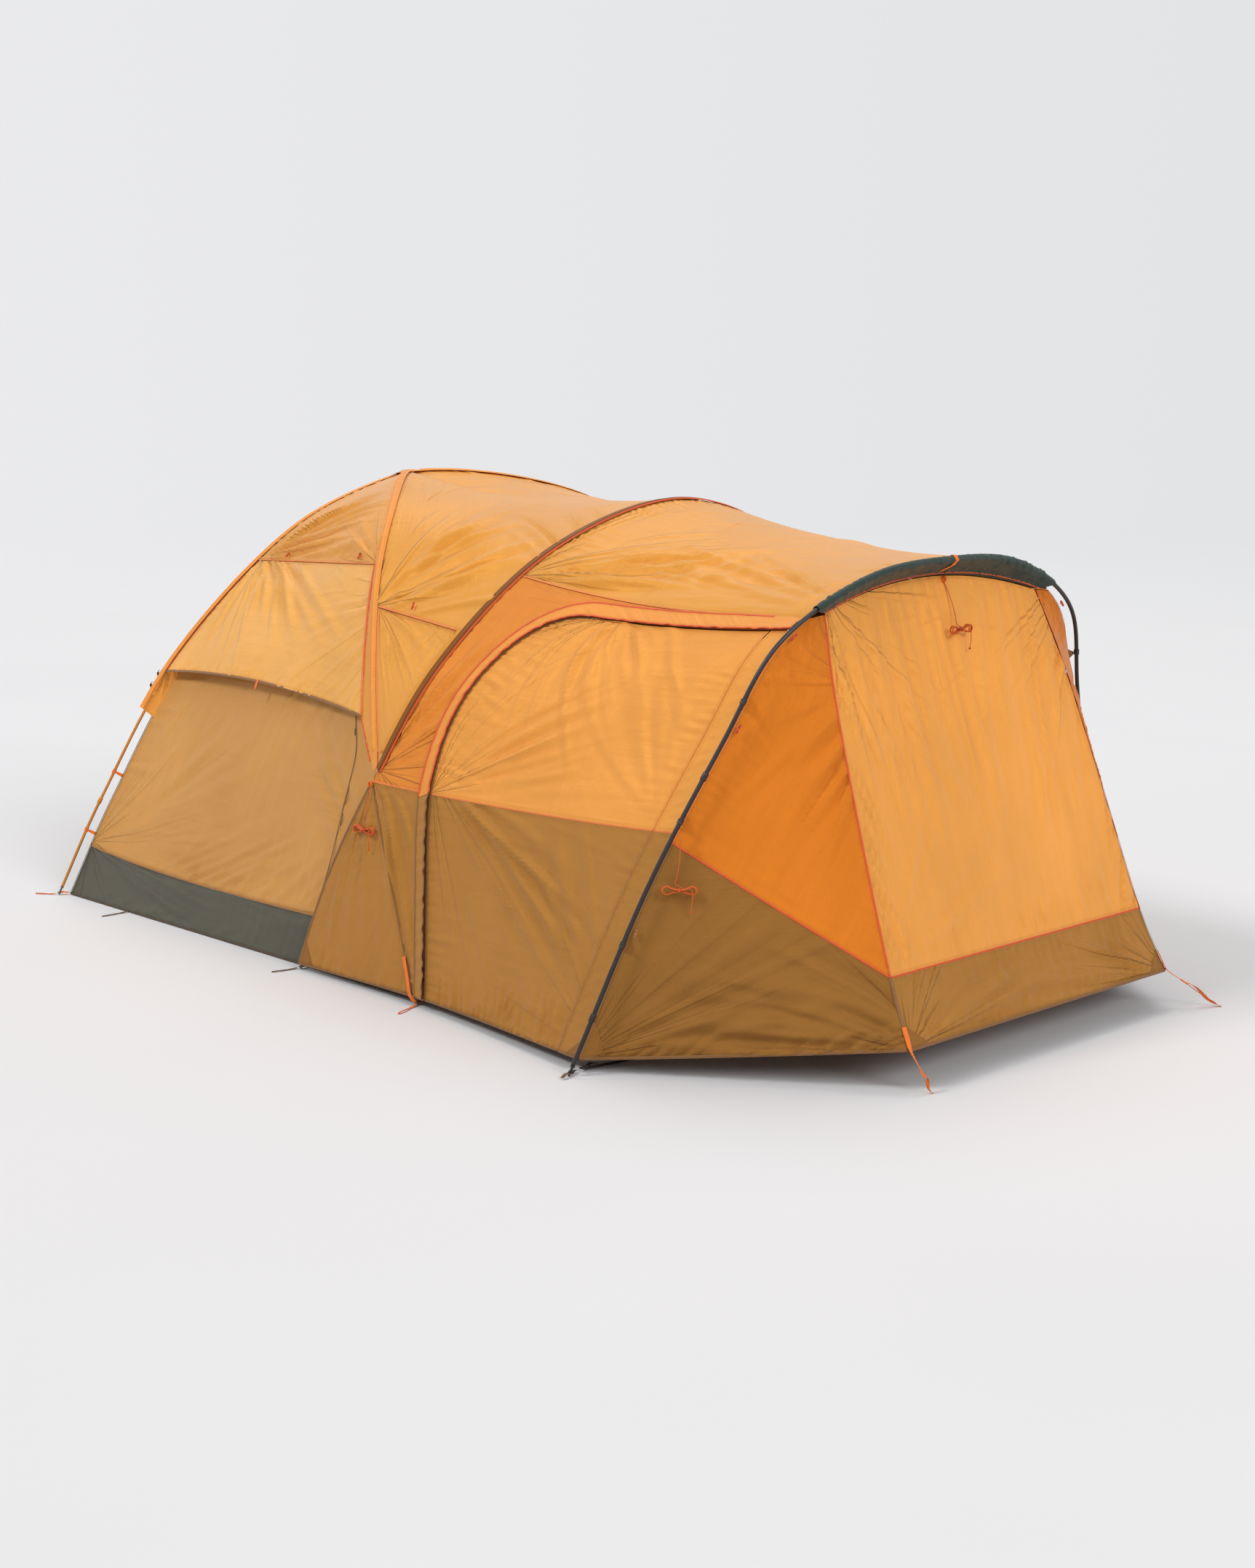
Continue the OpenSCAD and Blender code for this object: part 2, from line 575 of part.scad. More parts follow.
// Path of the door's zip: straight up from the hem, round an arch and level to the front
colour_v = side_v(cross_h);
arch_run = 450;           // from the zip's foot to the top of its arch
arch_x = zip_foot_x + arch_run;
arch_v = 0.956;
zip_lean = 100;
hinge_u = 0.93;
edge_share = 0.0022;      // half the gap beside a door's edge, as a share
function zip_low(w) = let (v = colour_v * w) [side_u(zip_foot_x - zip_lean * w, v), v];
function zip_arch(a) = let (v = lerp(colour_v, arch_v, sin(a)))
  [side_u(lerp(zip_foot_x - zip_lean, arch_x, 1 - cos(a)), v), v];
function zip_top(w) = lerp(zip_arch(90), [1, arch_v + 0.02], w);
low_path = [for (k = [0 : 4]) zip_low(k / 4)];
arch_path = [for (k = [0 : 6]) zip_arch(15 * k)];
top_path = [for (k = [1 : 4]) zip_top(k / 4)];
// A path moved sideways in u and v, to the left of its run for a positive share
function shifted(c, d) = [for (i = [0 : len(c) - 1])
  let (t = unit(c[min(i + 1, len(c) - 1)] - c[max(i - 1, 0)])) c[i] + d * [-t.y, t.x]];
function on_side(ca, cb, n) = turned([for (j = [0 : n])
  [for (i = [0 : len(ca) - 1]) let (p = lerp(ca[i], cb[i], j / n)) side_point(p.x, p.y)]]);

seam_share = 0.003;
module fly_upper() {
  path = shifted(concat(arch_path, top_path), edge_share);
  corner = [for (k = [0 : 5]) [seam_share, lerp(colour_v + seam_share, 1 - seam_share, k / 5)]];
  top = [for (k = [1 : 5]) [lerp(seam_share, 1 - seam_share, k / 5), 1 - seam_share]];
  color(ORANGE) {
    sheet(on_side(path, concat(corner, top), 4));
    front_strip(colour_v + seam_share, arch_v + 0.01);
  }
}
// The stretch between the door's hinge and the porch pole
module front_strip(v0, v1) {
  rows = [for (k = [0 : 5]) lerp(v0, v1, k / 5)];
  sheet(on_side([for (v = rows) [1 - seam_share, v]],
    [for (v = rows) [hinge_u + edge_share, v]], 2));
}
module fly_lower() {
  path = shifted(low_path, edge_share);
  color(TAN) {
    sheet(on_side([for (p = path) [p.x, min(p.y, colour_v - seam_share)]],
      [for (p = path) [seam_share, min(p.y, colour_v - seam_share)]], 4));
    front_strip(0, colour_v - seam_share);
  }
}
module porch_door_lower() {
  path = shifted(low_path, -edge_share);
  edge = [for (p = path) [hinge_u - edge_share, min(p.y, colour_v - seam_share)]];
  color(TAN) sheet(on_side(edge, [for (p = path) [p.x, min(p.y, colour_v - seam_share)]], 6));
}
module porch_door_upper() {
  path = shifted(arch_path, -edge_share);
  top = lerp(arch_v, zip_top(1).y, 0.9) - edge_share;
  left = [for (p = path) [p.x, max(p.y, colour_v + seam_share)]];
  right = [for (i = [0 : len(path) - 1])
    [hinge_u - edge_share, lerp(colour_v + seam_share, top, (left[i].y - left[0].y)
      / (left[len(path) - 1].y - left[0].y))]];
  color(ORANGE) sheet(on_side(right, left, 6));
}
storm_lift = 7;
module storm_flap() {
  path = concat(low_path, tail(arch_path), [for (p = top_path) [min(p.x, 0.99), p.y]]);
  outer = shifted(path, storm_w / side_len);
  color(ORANGE) sheet(raised(on_side(path, [for (p = outer) [min(p.x, 0.99), max(p.y, 0.002)]], 2),
    storm_lift), 2);
}

// Zip: a straight run beside the door, and the arch above it
zip_w = 6;
zip_t = 2.4;
zip_in = 12;
function zip_point(w) = let (p = zip_low(w) + [-0.011, 0])
  side_point(p.x, max(p.y, 0.02)) - zip_in * [0, -1, 0];
zip_a = zip_point(0.05);
zip_b = zip_point(0.72);
zip_dir = unit(zip_b - zip_a);
module zip_run(w, t, len) {
  // width along the cloth, thickness through it
  along(zip_a, zip_b) rotate([0, 0, zip_turn]) translate([-w / 2, -t / 2, 0]) cube([w, t, len]);
}
zip_turn = -atan2(zip_b.y - zip_a.y, zip_b.x - zip_a.x);
module zip() {
  color(TAN) {
    zip_run(zip_w, zip_t, norm(zip_b - zip_a));
    path = concat(tail(arch_path), [for (p = top_path) [min(p.x, hinge_u), p.y]]);
    sheet(raised(on_side(shifted(path, 2 * zip_w / side_len), shifted(path, 3.4 * zip_w / side_len), 1),
      -zip_in), zip_t);
  }
}
slider_len = 18;
module slider() {
  color(BLACK) {
    translate(zip_dir * 30) difference() {
      zip_run(15, 8, slider_len);
      translate(-zip_dir) zip_run(zip_w + 2, zip_t + 2, slider_len + 2);
    }
    // pull tab on the inner face
    translate(zip_dir * 26 + [0, 5.6, 0]) zip_run(7, 2, 34);
  }
}

module fly_upper_near() { fly_upper(); }
module fly_upper_far() { mirror([0, 1, 0]) fly_upper(); }
module fly_lower_near() { fly_lower(); }
module fly_lower_far() { mirror([0, 1, 0]) fly_lower(); }
module porch_door_upper_near() { porch_door_upper(); }
module porch_door_upper_far() { mirror([0, 1, 0]) porch_door_upper(); }
module porch_door_lower_near() { porch_door_lower(); }
module porch_door_lower_far() { mirror([0, 1, 0]) porch_door_lower(); }
module storm_flap_near() { storm_flap(); }
module storm_flap_far() { mirror([0, 1, 0]) storm_flap(); }
module zip_near() { zip(); }
module zip_far() { mirror([0, 1, 0]) zip(); }
module slider_near() { slider(); }
module slider_far() { mirror([0, 1, 0]) slider(); }

// ---- porch front and roof ----------------------------------------------------------
front_top_x = 4023;   // from the rear feet
front_top_w = 1200;
front_top_h = 1552;
function front_knot_at(s, w, hollow) = [rear_x + lerp(front_x, front_top_x, s) - hollow,
  -lerp(front_w, front_top_w, w) / 2, lerp(front_lift, front_top_h, s)];
front_edge = spline([front_knot_at(0, 0, 0), front_knot_at(0.16, 0.15, 24),
  front_knot_at(0.5, 0.37, 15), front_knot_at(0.8, 0.64, 4), front_knot_at(1, 1, 0)]);
skirt_share = share_at_z(front_edge, skirt_h);
crease_colour = share_at_z(crease_line, cross_h);
side_belly = [6, -10, 0];
module front_side_near() {
  color(ORANGE) sheet(web(crease_line, front_edge, crease_colour, 1, skirt_share, 1, 5, 6,
    belly = side_belly));
}
module front_side_far() { mirror([0, 1, 0]) front_side_near(); }
module front_side_skirts() {
  color(TAN) both_sides() sheet(web(crease_line, front_edge, 0, crease_colour - 0.006,
    0, skirt_share - 0.006, 6, 4, belly = side_belly));
}
front_rise = [-33, 0, 88];
module front_panel() {
  color(ORANGE) sheet(turned([for (k = [0 : 7]) let (w = k / 7, a = at(front_edge, lerp(skirt_share, 1, w)))
    span(a, far(a), 8, seam_gap, seam_gap, front_rise * pow(w, 3))]));
}
module front_skirt() {
  color(TAN) sheet(turned([for (k = [0 : 2]) let (a = at(front_edge, lerp(0, skirt_share - 0.006, k / 2)))
    span(a, far(a), 8)]));
}
// Sleeve round the top of the porch pole
band_foot_h = 1575;
band_r = 15;
band_arc = let (s = share_at_z(porch_half, band_foot_h), half = stretch(porch_half, s, 1, 10))
  concat(half, tail(reverse(far_side(half))));
module sleeve_band() {
  n = len(band_arc) - 1;
  top = front_edge[len(front_edge) - 1];
  lower = span(top, far(top), n, 0, 0, front_rise);
  color(GREY) sheet([for (i = [0 : n])
    concat([lower[i] + [4, 0, 8]],
      [for (a = [-20 : 50 : 180]) band_arc[i] + band_r * [cos(a), 0, sin(a)]],
      [band_arc[i] + [-band_r - 2, 0, -14]])], 3);
}
roof_sag = 45;
edge_lap = [0, 0, 6];     // its side edge runs just above the side seam
module porch_roof() {
  m = 5;
  s = share_at_z(hoop_line, side_seam_h);
  back = [for (p = band_arc) p + [-band_r - 8, 0, 2]];
  half = [for (k = [0 : m]) let (w = k / m)
    span(at(hoop_line, lerp(s, 1, w)), k == 0 ? crease_line[16] + edge_lap : at(back, w / 2),
      8, seam_gap, seam_gap,
      lerp(seam_sag, [0, 0, -roof_sag], min(1, 2 * w)))];
  color(ORANGE) sheet(turned(concat(half,
    [for (k = [m - 1 : -1 : 0]) [for (p = half[k]) far(p)]])));
}

// ---- trim ----------------------------------------------------------------------
toggle_len = 34;
toggle_r = 4;
out_gap = 4.5;
crease_toggle_h = [1200, 1500];
tan_toggle_h = 510;
// A toggle on the outside of the cloth, from p towards q
module toggle(p, q, out) {
  a = p + unit(out) * (toggle_r + out_gap);
  rod(a, a + unit(q - p) * toggle_len, toggle_r);
}
// One above a seam on a cloth between two curves, at share s of the seam
module seam_toggle(ca, cb, a0, b0, s) {
  function on_cloth(w, s) = lerp(at(ca, lerp(a0, 1, w)), at(cb, lerp(b0, 1, w)), s);
  p = on_cloth(0.055, s);
  q = on_cloth(0, s);
  toggle(p, q, cross(on_cloth(0.055, s + 0.05) - p, p - q));
}
module crease_toggle(z) {
  p = at_z(crease_line, z) + [20, 6, 0];
  toggle(p, p + at_z(crease_line, z - 40) - at_z(crease_line, z), [0.6, -0.8, 0]);
}
module toggles() {
  color(DEEP_ORANGE) both_sides() {
    for (s = [0.25, 0.85])
      seam_toggle(rear_line, front_line, rear_seam, front_seam, s);
    seam_toggle(front_line, hoop_line, vent_share, hoop_share, 0.42);
    for (z = crease_toggle_h) crease_toggle(z);
  }
  color(DEEP_ORANGE) for (s = [0.2, 0.8])
    seam_toggle(far_side(rear_line), rear_line, rear_seam, rear_seam, s);
  color(TAN) both_sides() crease_toggle(tan_toggle_h);
}

// Loops of webbing that hold the guylines
loop_r = 9;
loop_places = [cross_point + [4, -40, -4],
  at_z(crease_line, cross_h + 25) + [47, -26, 0],
  lerp(front_edge[len(front_edge) - 1], far(front_edge[len(front_edge) - 1]), 0.56)
    + front_rise + [16, 0, -12]];
module ring(p, turn = 0) {
  translate(p) rotate([90, 0, turn]) rotate_extrude($fn = 16)
    translate([loop_r, 0]) circle(r = 1.6, $fn = 8);
}
module guy_loops() {
  color(DEEP_ORANGE) {
    ring(loop_places[0]);
    ring(loop_places[1]);
    ring(loop_places[2], 90);
  }
}

// Guyline: a short hanging run, the hank tied below it, each at its own loop
cord_d = 3;
hank_w = 120;
hank_h = 30;
hank_t = 18;
run_len = 150;
hank_drop = loop_r + 1.6 + run_len;
module hank_run(i, away = [0, 0, 0]) {
  p = loop_places[i] - [0, 0, loop_r + 1.6];
  color(DEEP_ORANGE) sweep([for (k = [0 : 6]) p - [0, 0, run_len * k / 6]
    + away * k / 6], cord_d / 2, [0, 1, 0]);
}
module hank(i, turn = 0, away = [0, 0, 0]) {
  color(DEEP_ORANGE) translate(loop_places[i] - [0, 0, hank_drop + hank_h / 2] + away)
    rotate([90, 0, turn]) translate([0, 0, -hank_t / 2]) linear_extrude(hank_t) {
      square([hank_w - hank_h, hank_h], center = true);
      for (s = [-1, 1]) translate([s * (hank_w - hank_h) / 2, 0]) circle(d = hank_h, $fn = 32);
    }
}
// where each hank turns and hangs, from straight below its loop
hank_turn = [0, 42, 90];
hank_away = [[0, -36, 0], [10, -14, 0], [84, 0, 0]];
module guyline_crossing() { hank_run(0, hank_away[0]); }
module guyline_porch() { hank_run(1, hank_away[1]); }
module guyline_front() { hank_run(2, hank_away[2]); }
module hank_crossing() { hank(0, hank_turn[0], hank_away[0]); }
module hank_porch() { hank(1, hank_turn[1], hank_away[1]); }
module hank_front() { hank(2, hank_turn[2], hank_away[2]); }

// Straps at the front corners, with their ladder-lock buckles, and the tie
// between the porch pole's feet
strap_w = 20;
buckle_t = 5;
near_tail = [rear_x + front_x + 66, -front_w / 2 + 44, 1.5];
far_tail = [rear_x + front_x + 144, front_w / 2 + 165, 1.5];
function strap_mid(a, b) = lerp(a, b, 0.4);
near_corner = front_edge[0] + [8, -4, -4];
far_corner = far(front_edge[0]) + [8, 6, -4];
module buckle(a, b, s) {
  p = lerp(a, b, s);
  d = unit(b - a) * 14;
  along(p - d, p + d) difference() {
    translate([-buckle_t / 2, -strap_w / 2 - 4, 0]) cube([buckle_t, strap_w + 8, 28]);
    for (z = [5, 15]) translate([-buckle_t, -strap_w / 2 - 1, z]) cube([2 * buckle_t, strap_w + 2, 8]);
  }
}
module strap_buckles() {
  color(DEEP_ORANGE) {
    buckle(near_corner, near_tail, 0.5);
    buckle(far_corner, far_tail, 0.3);
  }
  color(BLACK) both_sides() buckle(foot_porch + [0, 50, ring_z], foot_porch + [0, 100, ring_z], 0.5);
}
module corner_strap(a, b, s) {
  d = unit(b - a) * 14;
  strap(a, lerp(a, b, s) - d, strap_w);
  strap(lerp(a, b, s) + d, b, strap_w);
}
module tie_straps() {
  color(DEEP_ORANGE) {
    corner_strap(near_corner, near_tail, 0.5);
    corner_strap(far_corner, far_tail, 0.3);
  }
  tie_y = porch_w / 2 - 90;
  color(BLACK) translate([foot_porch.x - strap_w / 2, -tie_y, tip_r + ring_z - 1])
    cube([strap_w, 2 * tie_y, 2]);
}

// Shock-cord loops for the stakes, flat on the ground beside the feet
stake_r = 1.5;
stake_w = 9;
module stake_loop(p, turn, len) {
  translate([p.x, p.y, stake_r]) rotate([0, 0, turn]) {
    for (s = [-1, 1]) translate([0, s * stake_w, 0]) rotate([0, 90, 0])
      cylinder(r = stake_r, h = len, $fn = 8);
    translate([len, 0, 0]) rotate([0, 0, -90]) rotate_extrude(angle = 180, $fn = 20)
      translate([stake_w, 0]) circle(r = stake_r, $fn = 8);
  }
}
module stake_loops() {
  color(DEEP_ORANGE) both_sides() {
    stake_loop(foot_rear + [-16, -16, 0], 215, 80);
    stake_loop([lerp(foot_rear.x, foot_hoop.x, 0.28), -half_w + 30, 0], -92, 110);
    stake_loop(foot_hoop + [-10, -18, 0], -105, 90);
    stake_loop(foot_front + [10, -18, 0], -70, 110);
  }
}

stake_loops();
foot_grommets();
foot_webbing();
leg_clips();
porch_clips();
tub_floor();
rear_wall();
side_wall_near();
side_wall_far();
front_wall();
mesh_windows();
cabin_door();
roof_rear();
roof_near();
roof_far();
roof_front();
awning_rear();
awning_near();
awning_far();
vent_flap_near();
vent_flap_far();
dome_sleeves();
hoop_sleeve();
porch_roof();
fly_upper_near();
fly_upper_far();
fly_lower_near();
fly_lower_far();
porch_door_upper_near();
porch_door_upper_far();
porch_door_lower_near();
porch_door_lower_far();
storm_flap_near();
storm_flap_far();
zip_near();
zip_far();
slider_near();
slider_far();
front_side_near();
front_side_far();
front_side_skirts();
front_panel();
front_skirt();
sleeve_band();
toggles();
guy_loops();
strap_buckles();
tie_straps();
guyline_crossing();
guyline_porch();
guyline_front();
hank_crossing();
hank_porch();
hank_front();
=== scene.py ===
"""Looks of a six-person dome tent on poles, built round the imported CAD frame."""
import math

import bpy
import numpy as np
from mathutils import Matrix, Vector


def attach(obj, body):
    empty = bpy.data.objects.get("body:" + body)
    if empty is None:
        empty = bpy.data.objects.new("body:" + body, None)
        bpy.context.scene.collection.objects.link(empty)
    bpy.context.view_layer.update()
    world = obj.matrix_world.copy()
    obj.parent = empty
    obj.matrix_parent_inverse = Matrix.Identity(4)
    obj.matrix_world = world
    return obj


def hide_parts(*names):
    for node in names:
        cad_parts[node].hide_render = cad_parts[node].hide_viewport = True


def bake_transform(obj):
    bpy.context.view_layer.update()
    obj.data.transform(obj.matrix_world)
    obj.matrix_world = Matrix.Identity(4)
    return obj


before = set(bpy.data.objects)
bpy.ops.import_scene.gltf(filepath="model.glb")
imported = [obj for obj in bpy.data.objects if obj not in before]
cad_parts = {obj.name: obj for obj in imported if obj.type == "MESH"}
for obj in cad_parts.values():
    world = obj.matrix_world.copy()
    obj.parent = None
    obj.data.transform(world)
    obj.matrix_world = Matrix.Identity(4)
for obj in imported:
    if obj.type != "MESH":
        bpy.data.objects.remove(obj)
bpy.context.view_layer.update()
MM = 0.001

# ---- sizes, in millimetres, as in the part's source ----
CABIN_W, CABIN_L, PEAK_H, PEAK_X, TUB_H = 2500, 2575, 1875, 1030, 230
WALL_GAP, SEAM_H, SEAM_RISE, HEM_H = 48, 1515, 75, 1020
HOOP_FOOT_X, HOOP_TOP_X, HOOP_H = 1835, 2690, 1842
CROSS_X, CROSS_Y, CROSS_H = 2217, 1140, 800
PORCH_X, PORCH_W, PORCH_H, PORCH_LEAN = 3640, 2900, 1706, 0.26
FRONT_X, FRONT_W, FRONT_LIFT, SKIRT_H, ZIP_X = 4565, 1503, 146, 371, 2650
DOME_POLE_D, PORCH_POLE_D, SLEEVE_W, STORM_W = 13, 16, 44, 50
WINDOW_H, UNDER = 1130, 45
SEAM = 2.5          # half the gap that the cloth edges keep beside a seam

HALF_W = CABIN_W / 2
REAR_X = -CABIN_L / 2
TIP_R = 4.5
POLE_GAP = DOME_POLE_D / 2 + 1.5
SKIN = DOME_POLE_D / 2 + POLE_GAP + 5


# ---- curves ----
def vec(*xyz):
    return np.array(xyz, float)


def lerp(a, b, t):
    return a + (b - a) * t


def unit(v):
    return v / np.maximum(np.linalg.norm(v, axis=-1, keepdims=True), 1e-12)


def far(p):
    return np.asarray(p, float) * (1, -1, 1)


def spline(knots, g0=None, g1=None, n=20):
    """Smooth curve through its knots; g0 and g1 steer its ends."""
    k = [np.asarray(p, float) for p in knots]
    k = [2 * k[0] - k[1] if g0 is None else g0, *k, 2 * k[-1] - k[-2] if g1 is None else g1]
    t = (np.arange(n) / n)[:, None]
    out = []
    for p0, p1, p2, p3 in zip(k, k[1:], k[2:], k[3:]):
        out.append(0.5 * (2 * p1 + (p2 - p0) * t + (2 * p0 - 5 * p1 + 4 * p2 - p3) * t ** 2
                          + (3 * p1 - p0 - 3 * p2 + p3) * t ** 3))
    return np.vstack(out + [k[-2][None]])


def at(curve, s):
    """Points at shares s of a curve."""
    x = np.clip(np.asarray(s, float), 0, 1) * (len(curve) - 1)
    i = np.minimum(x.astype(int), len(curve) - 2)
    return lerp(curve[i], curve[i + 1], (x - i)[..., None])


def share_at(curve, value, axis):
    return np.interp(value, curve[:, axis], np.linspace(0, 1, len(curve)))


def share_z(curve, z):
    return share_at(curve, z, 2)


def at_z(curve, z):
    return at(curve, share_z(curve, z))


def stretch(curve, s0, s1, n):
    return at(curve, np.linspace(s0, s1, n + 1))


def proud(curve, middle, d):
    return curve + d * unit(curve - middle)


# ---- frame lines ----
foot_rear = vec(REAR_X, -HALF_W, TIP_R)
foot_hoop = vec(REAR_X + HOOP_FOOT_X, -HALF_W, TIP_R)
foot_front = vec(REAR_X + CABIN_L, -HALF_W, TIP_R)
foot_porch = vec(REAR_X + PORCH_X, -PORCH_W / 2, TIP_R)
peak = vec(REAR_X + PEAK_X, 0, PEAK_H)
cross_point = vec(REAR_X + CROSS_X, -CROSS_Y, CROSS_H)
hoop_top = vec(REAR_X + HOOP_TOP_X, 0, HOOP_H)


def rear_knot(s, h):
    return vec(lerp(foot_rear[0], peak[0], s), -HALF_W * (1 - s), PEAK_H * h)


def front_knot(s, w, h):
    return vec(lerp(peak[0], foot_front[0], s), -HALF_W * w, PEAK_H * h)


def hoop_knot(s, w, h):
    return vec(lerp(cross_point[0], hoop_top[0], s), -HALF_W * w, HOOP_H * h)


def porch_knot(w, h):
    return vec(foot_porch[0] + PORCH_LEAN * PORCH_H * h, -PORCH_W / 2 * w, PORCH_H * h)


def rear_half(lift):
    return spline([foot_rear, rear_knot(0.131, 0.243), rear_knot(0.35, 0.574),
                   rear_knot(0.685, 0.876), peak + (0, 0, lift)],
                  g1=front_knot(0.343, 0.416, 0.955))


def front_half(lift, inward):
    low = vec(lerp(cross_point[0], foot_front[0], 0.65), -HALF_W * 0.98, CROSS_H * 0.37)
    return spline([foot_front, low, cross_point + (0, inward, 0), front_knot(0.559, 0.708, 0.759),
                   front_knot(0.343, 0.416, 0.955), peak + (0, 0, lift)],
                  g1=far(rear_knot(0.685, 0.876)))


def hoop_half(outward):
    low = vec(lerp(foot_hoop[0], cross_point[0], 0.47), -HALF_W * 0.97, CROSS_H * 0.52)
    return spline([foot_hoop, low, cross_point - (0, outward, 0), hoop_knot(0.45, 0.79, 0.681),
                   hoop_knot(0.873, 0.488, 0.906), hoop_top],
                  g1=far(hoop_knot(0.873, 0.488, 0.906)))


porch_half = spline([foot_porch, porch_knot(0.859, 0.379), porch_knot(0.697, 0.67),
                     porch_knot(0.568, 0.865), porch_knot(0.297, 0.977), porch_knot(0, 1)],
                    g1=far(porch_knot(0.297, 0.977)))


def arch(near, other=None):
    """A near half and the mirrored half of the same pole, foot to foot."""
    other = near if other is None else other
    return np.vstack([near, far(other)[-2::-1]])


DOME_MIDDLE = vec(0, 0, PEAK_H * 0.26)
HOOP_MIDDLE = vec(foot_front[0] - 275, 0, HOOP_H * 0.26)
CREASE_OFFSET = vec(-22, 38, -6)
rear_line = proud(rear_half(POLE_GAP), DOME_MIDDLE, SKIN)
front_line = proud(front_half(POLE_GAP, 0), DOME_MIDDLE, SKIN)
hoop_line = proud(hoop_half(POLE_GAP), HOOP_MIDDLE, SKIN)


def wall_rear(z):
    return at_z(rear_line, z) + (WALL_GAP, WALL_GAP, 0)


def wall_front(z):
    return at_z(front_line, z) + (-WALL_GAP, WALL_GAP, 0)


# ---- the porch side, a surface of two shares ----
FINE = 96
ticks = np.linspace(0, 1, FINE + 1)
crease_line = at_z(porch_half, lerp(55, 1550, ticks)) + CREASE_OFFSET
edge_hoop = stretch(hoop_line, share_z(hoop_line, 28), share_z(hoop_line, 1600), FINE)
ZIP_FOOT_X = REAR_X + ZIP_X
hem_knots = spline([edge_hoop[0], vec(ZIP_FOOT_X, -HALF_W - 27, 38), crease_line[0]], n=60)
hem_line = at(hem_knots, share_at(hem_knots, lerp(hem_knots[0, 0], hem_knots[-1, 0], ticks), 0))
SEAM_SAG = vec(0, -20, -36)


def span(a, b, s, m0=SEAM, m1=SEAM, belly=(0, 0, 0)):
    """Points from a to b at shares s, kept m0 and m1 short of them, the middle pushed out."""
    d = np.linalg.norm(b - a, axis=-1, keepdims=True)
    s = lerp(m0 / d, 1 - m1 / d, np.asarray(s, float)[..., None])
    return lerp(a, b, s) + 4 * s * (1 - s) * np.asarray(belly, float)


seam_line = span(edge_hoop[-1], crease_line[-1], ticks, 0, 0, SEAM_SAG)


def side_point(u, v):
    u, v = np.broadcast_arrays(np.asarray(u, float), np.asarray(v, float))
    s, t = u[..., None], v[..., None]
    flat = lerp(lerp(edge_hoop[0], crease_line[0], s), lerp(edge_hoop[-1], crease_line[-1], s), t)
    return (lerp(at(edge_hoop, v), at(crease_line, v), s)
            + lerp(at(hem_line, u), at(seam_line, u), t) - flat)


def side_u(x, v):
    v = np.atleast_1d(np.asarray(v, float))
    x = np.broadcast_to(np.asarray(x, float), v.shape)
    return np.array([np.interp(a, side_point(ticks, b)[:, 0], ticks) for a, b in zip(x, v)])


colour_v = float(share_z(side_point(0.5, ticks), CROSS_H))
ARCH_X, ARCH_V, ZIP_LEAN, HINGE_U = ZIP_FOOT_X + 450, 0.956, 100, 0.93


def zip_low(w):
    v = colour_v * np.atleast_1d(w)
    return np.stack([side_u(ZIP_FOOT_X - ZIP_LEAN * np.atleast_1d(w), v), v], -1)


def zip_arch(a):
    a = np.radians(np.atleast_1d(a))
    v = lerp(colour_v, ARCH_V, np.sin(a))
    return np.stack([side_u(lerp(ZIP_FOOT_X - ZIP_LEAN, ARCH_X, 1 - np.cos(a)), v), v], -1)


arch_end = zip_arch(90)[0]


def zip_top(w):
    return lerp(arch_end, vec(1, ARCH_V + 0.02), np.atleast_1d(w)[:, None])


def shifted(path, d):
    t = unit(np.gradient(path, axis=0))
    return path + d * np.stack([-t[:, 1], t[:, 0]], -1)


# ---- the porch front ----
FRONT_TOP_X, FRONT_TOP_W, FRONT_TOP_H = 4023, 1200, 1552


def front_edge_knot(s, w, hollow):
    return vec(REAR_X + lerp(FRONT_X, FRONT_TOP_X, s) - hollow,
               -lerp(FRONT_W, FRONT_TOP_W, w) / 2, lerp(FRONT_LIFT, FRONT_TOP_H, s))


front_edge = spline([front_edge_knot(0, 0, 0), front_edge_knot(0.16, 0.15, 24),
                     front_edge_knot(0.5, 0.37, 15), front_edge_knot(0.8, 0.64, 4),
                     front_edge_knot(1, 1, 0)])
skirt_share = float(share_z(front_edge, SKIRT_H))
crease_colour = float(share_z(crease_line, CROSS_H))
SIDE_BELLY = vec(6, -10, 0)
FRONT_RISE = vec(-33, 0, 88)
BAND_R = 15
band_half = stretch(porch_half, float(share_z(porch_half, 1575)), 1, 40)
band_arc = arch(band_half)


# ---- camera, light and floor ----
camera = bpy.data.objects.new("camera", bpy.data.cameras.new("camera"))
bpy.context.scene.collection.objects.link(camera)
camera.location = (8.2055, -6.821, 2.484)
camera.rotation_euler = (math.radians(90 - 10.454), math.radians(0.03), math.radians(46.004))
camera.data.lens = 55.351
camera.data.sensor_width = 36
camera.data.clip_end = 100
bpy.context.scene.camera = camera
bpy.context.scene.view_settings.view_transform = "Standard"

world = bpy.data.worlds.new("studio")
bpy.context.scene.world = world
world.use_nodes = True
wn, wl = world.node_tree.nodes, world.node_tree.links
wn.clear()
out = wn.new("ShaderNodeOutputWorld")
mix = wn.new("ShaderNodeMixShader")
path = wn.new("ShaderNodeLightPath")
seen = wn.new("ShaderNodeMath")
seen.operation = "MAXIMUM"
ambient, backdrop = wn.new("ShaderNodeBackground"), wn.new("ShaderNodeBackground")
ambient.inputs["Color"].default_value = (1.0, 0.99, 0.98, 1)
ambient.inputs["Strength"].default_value = 0.44
backdrop.inputs["Strength"].default_value = 1.0
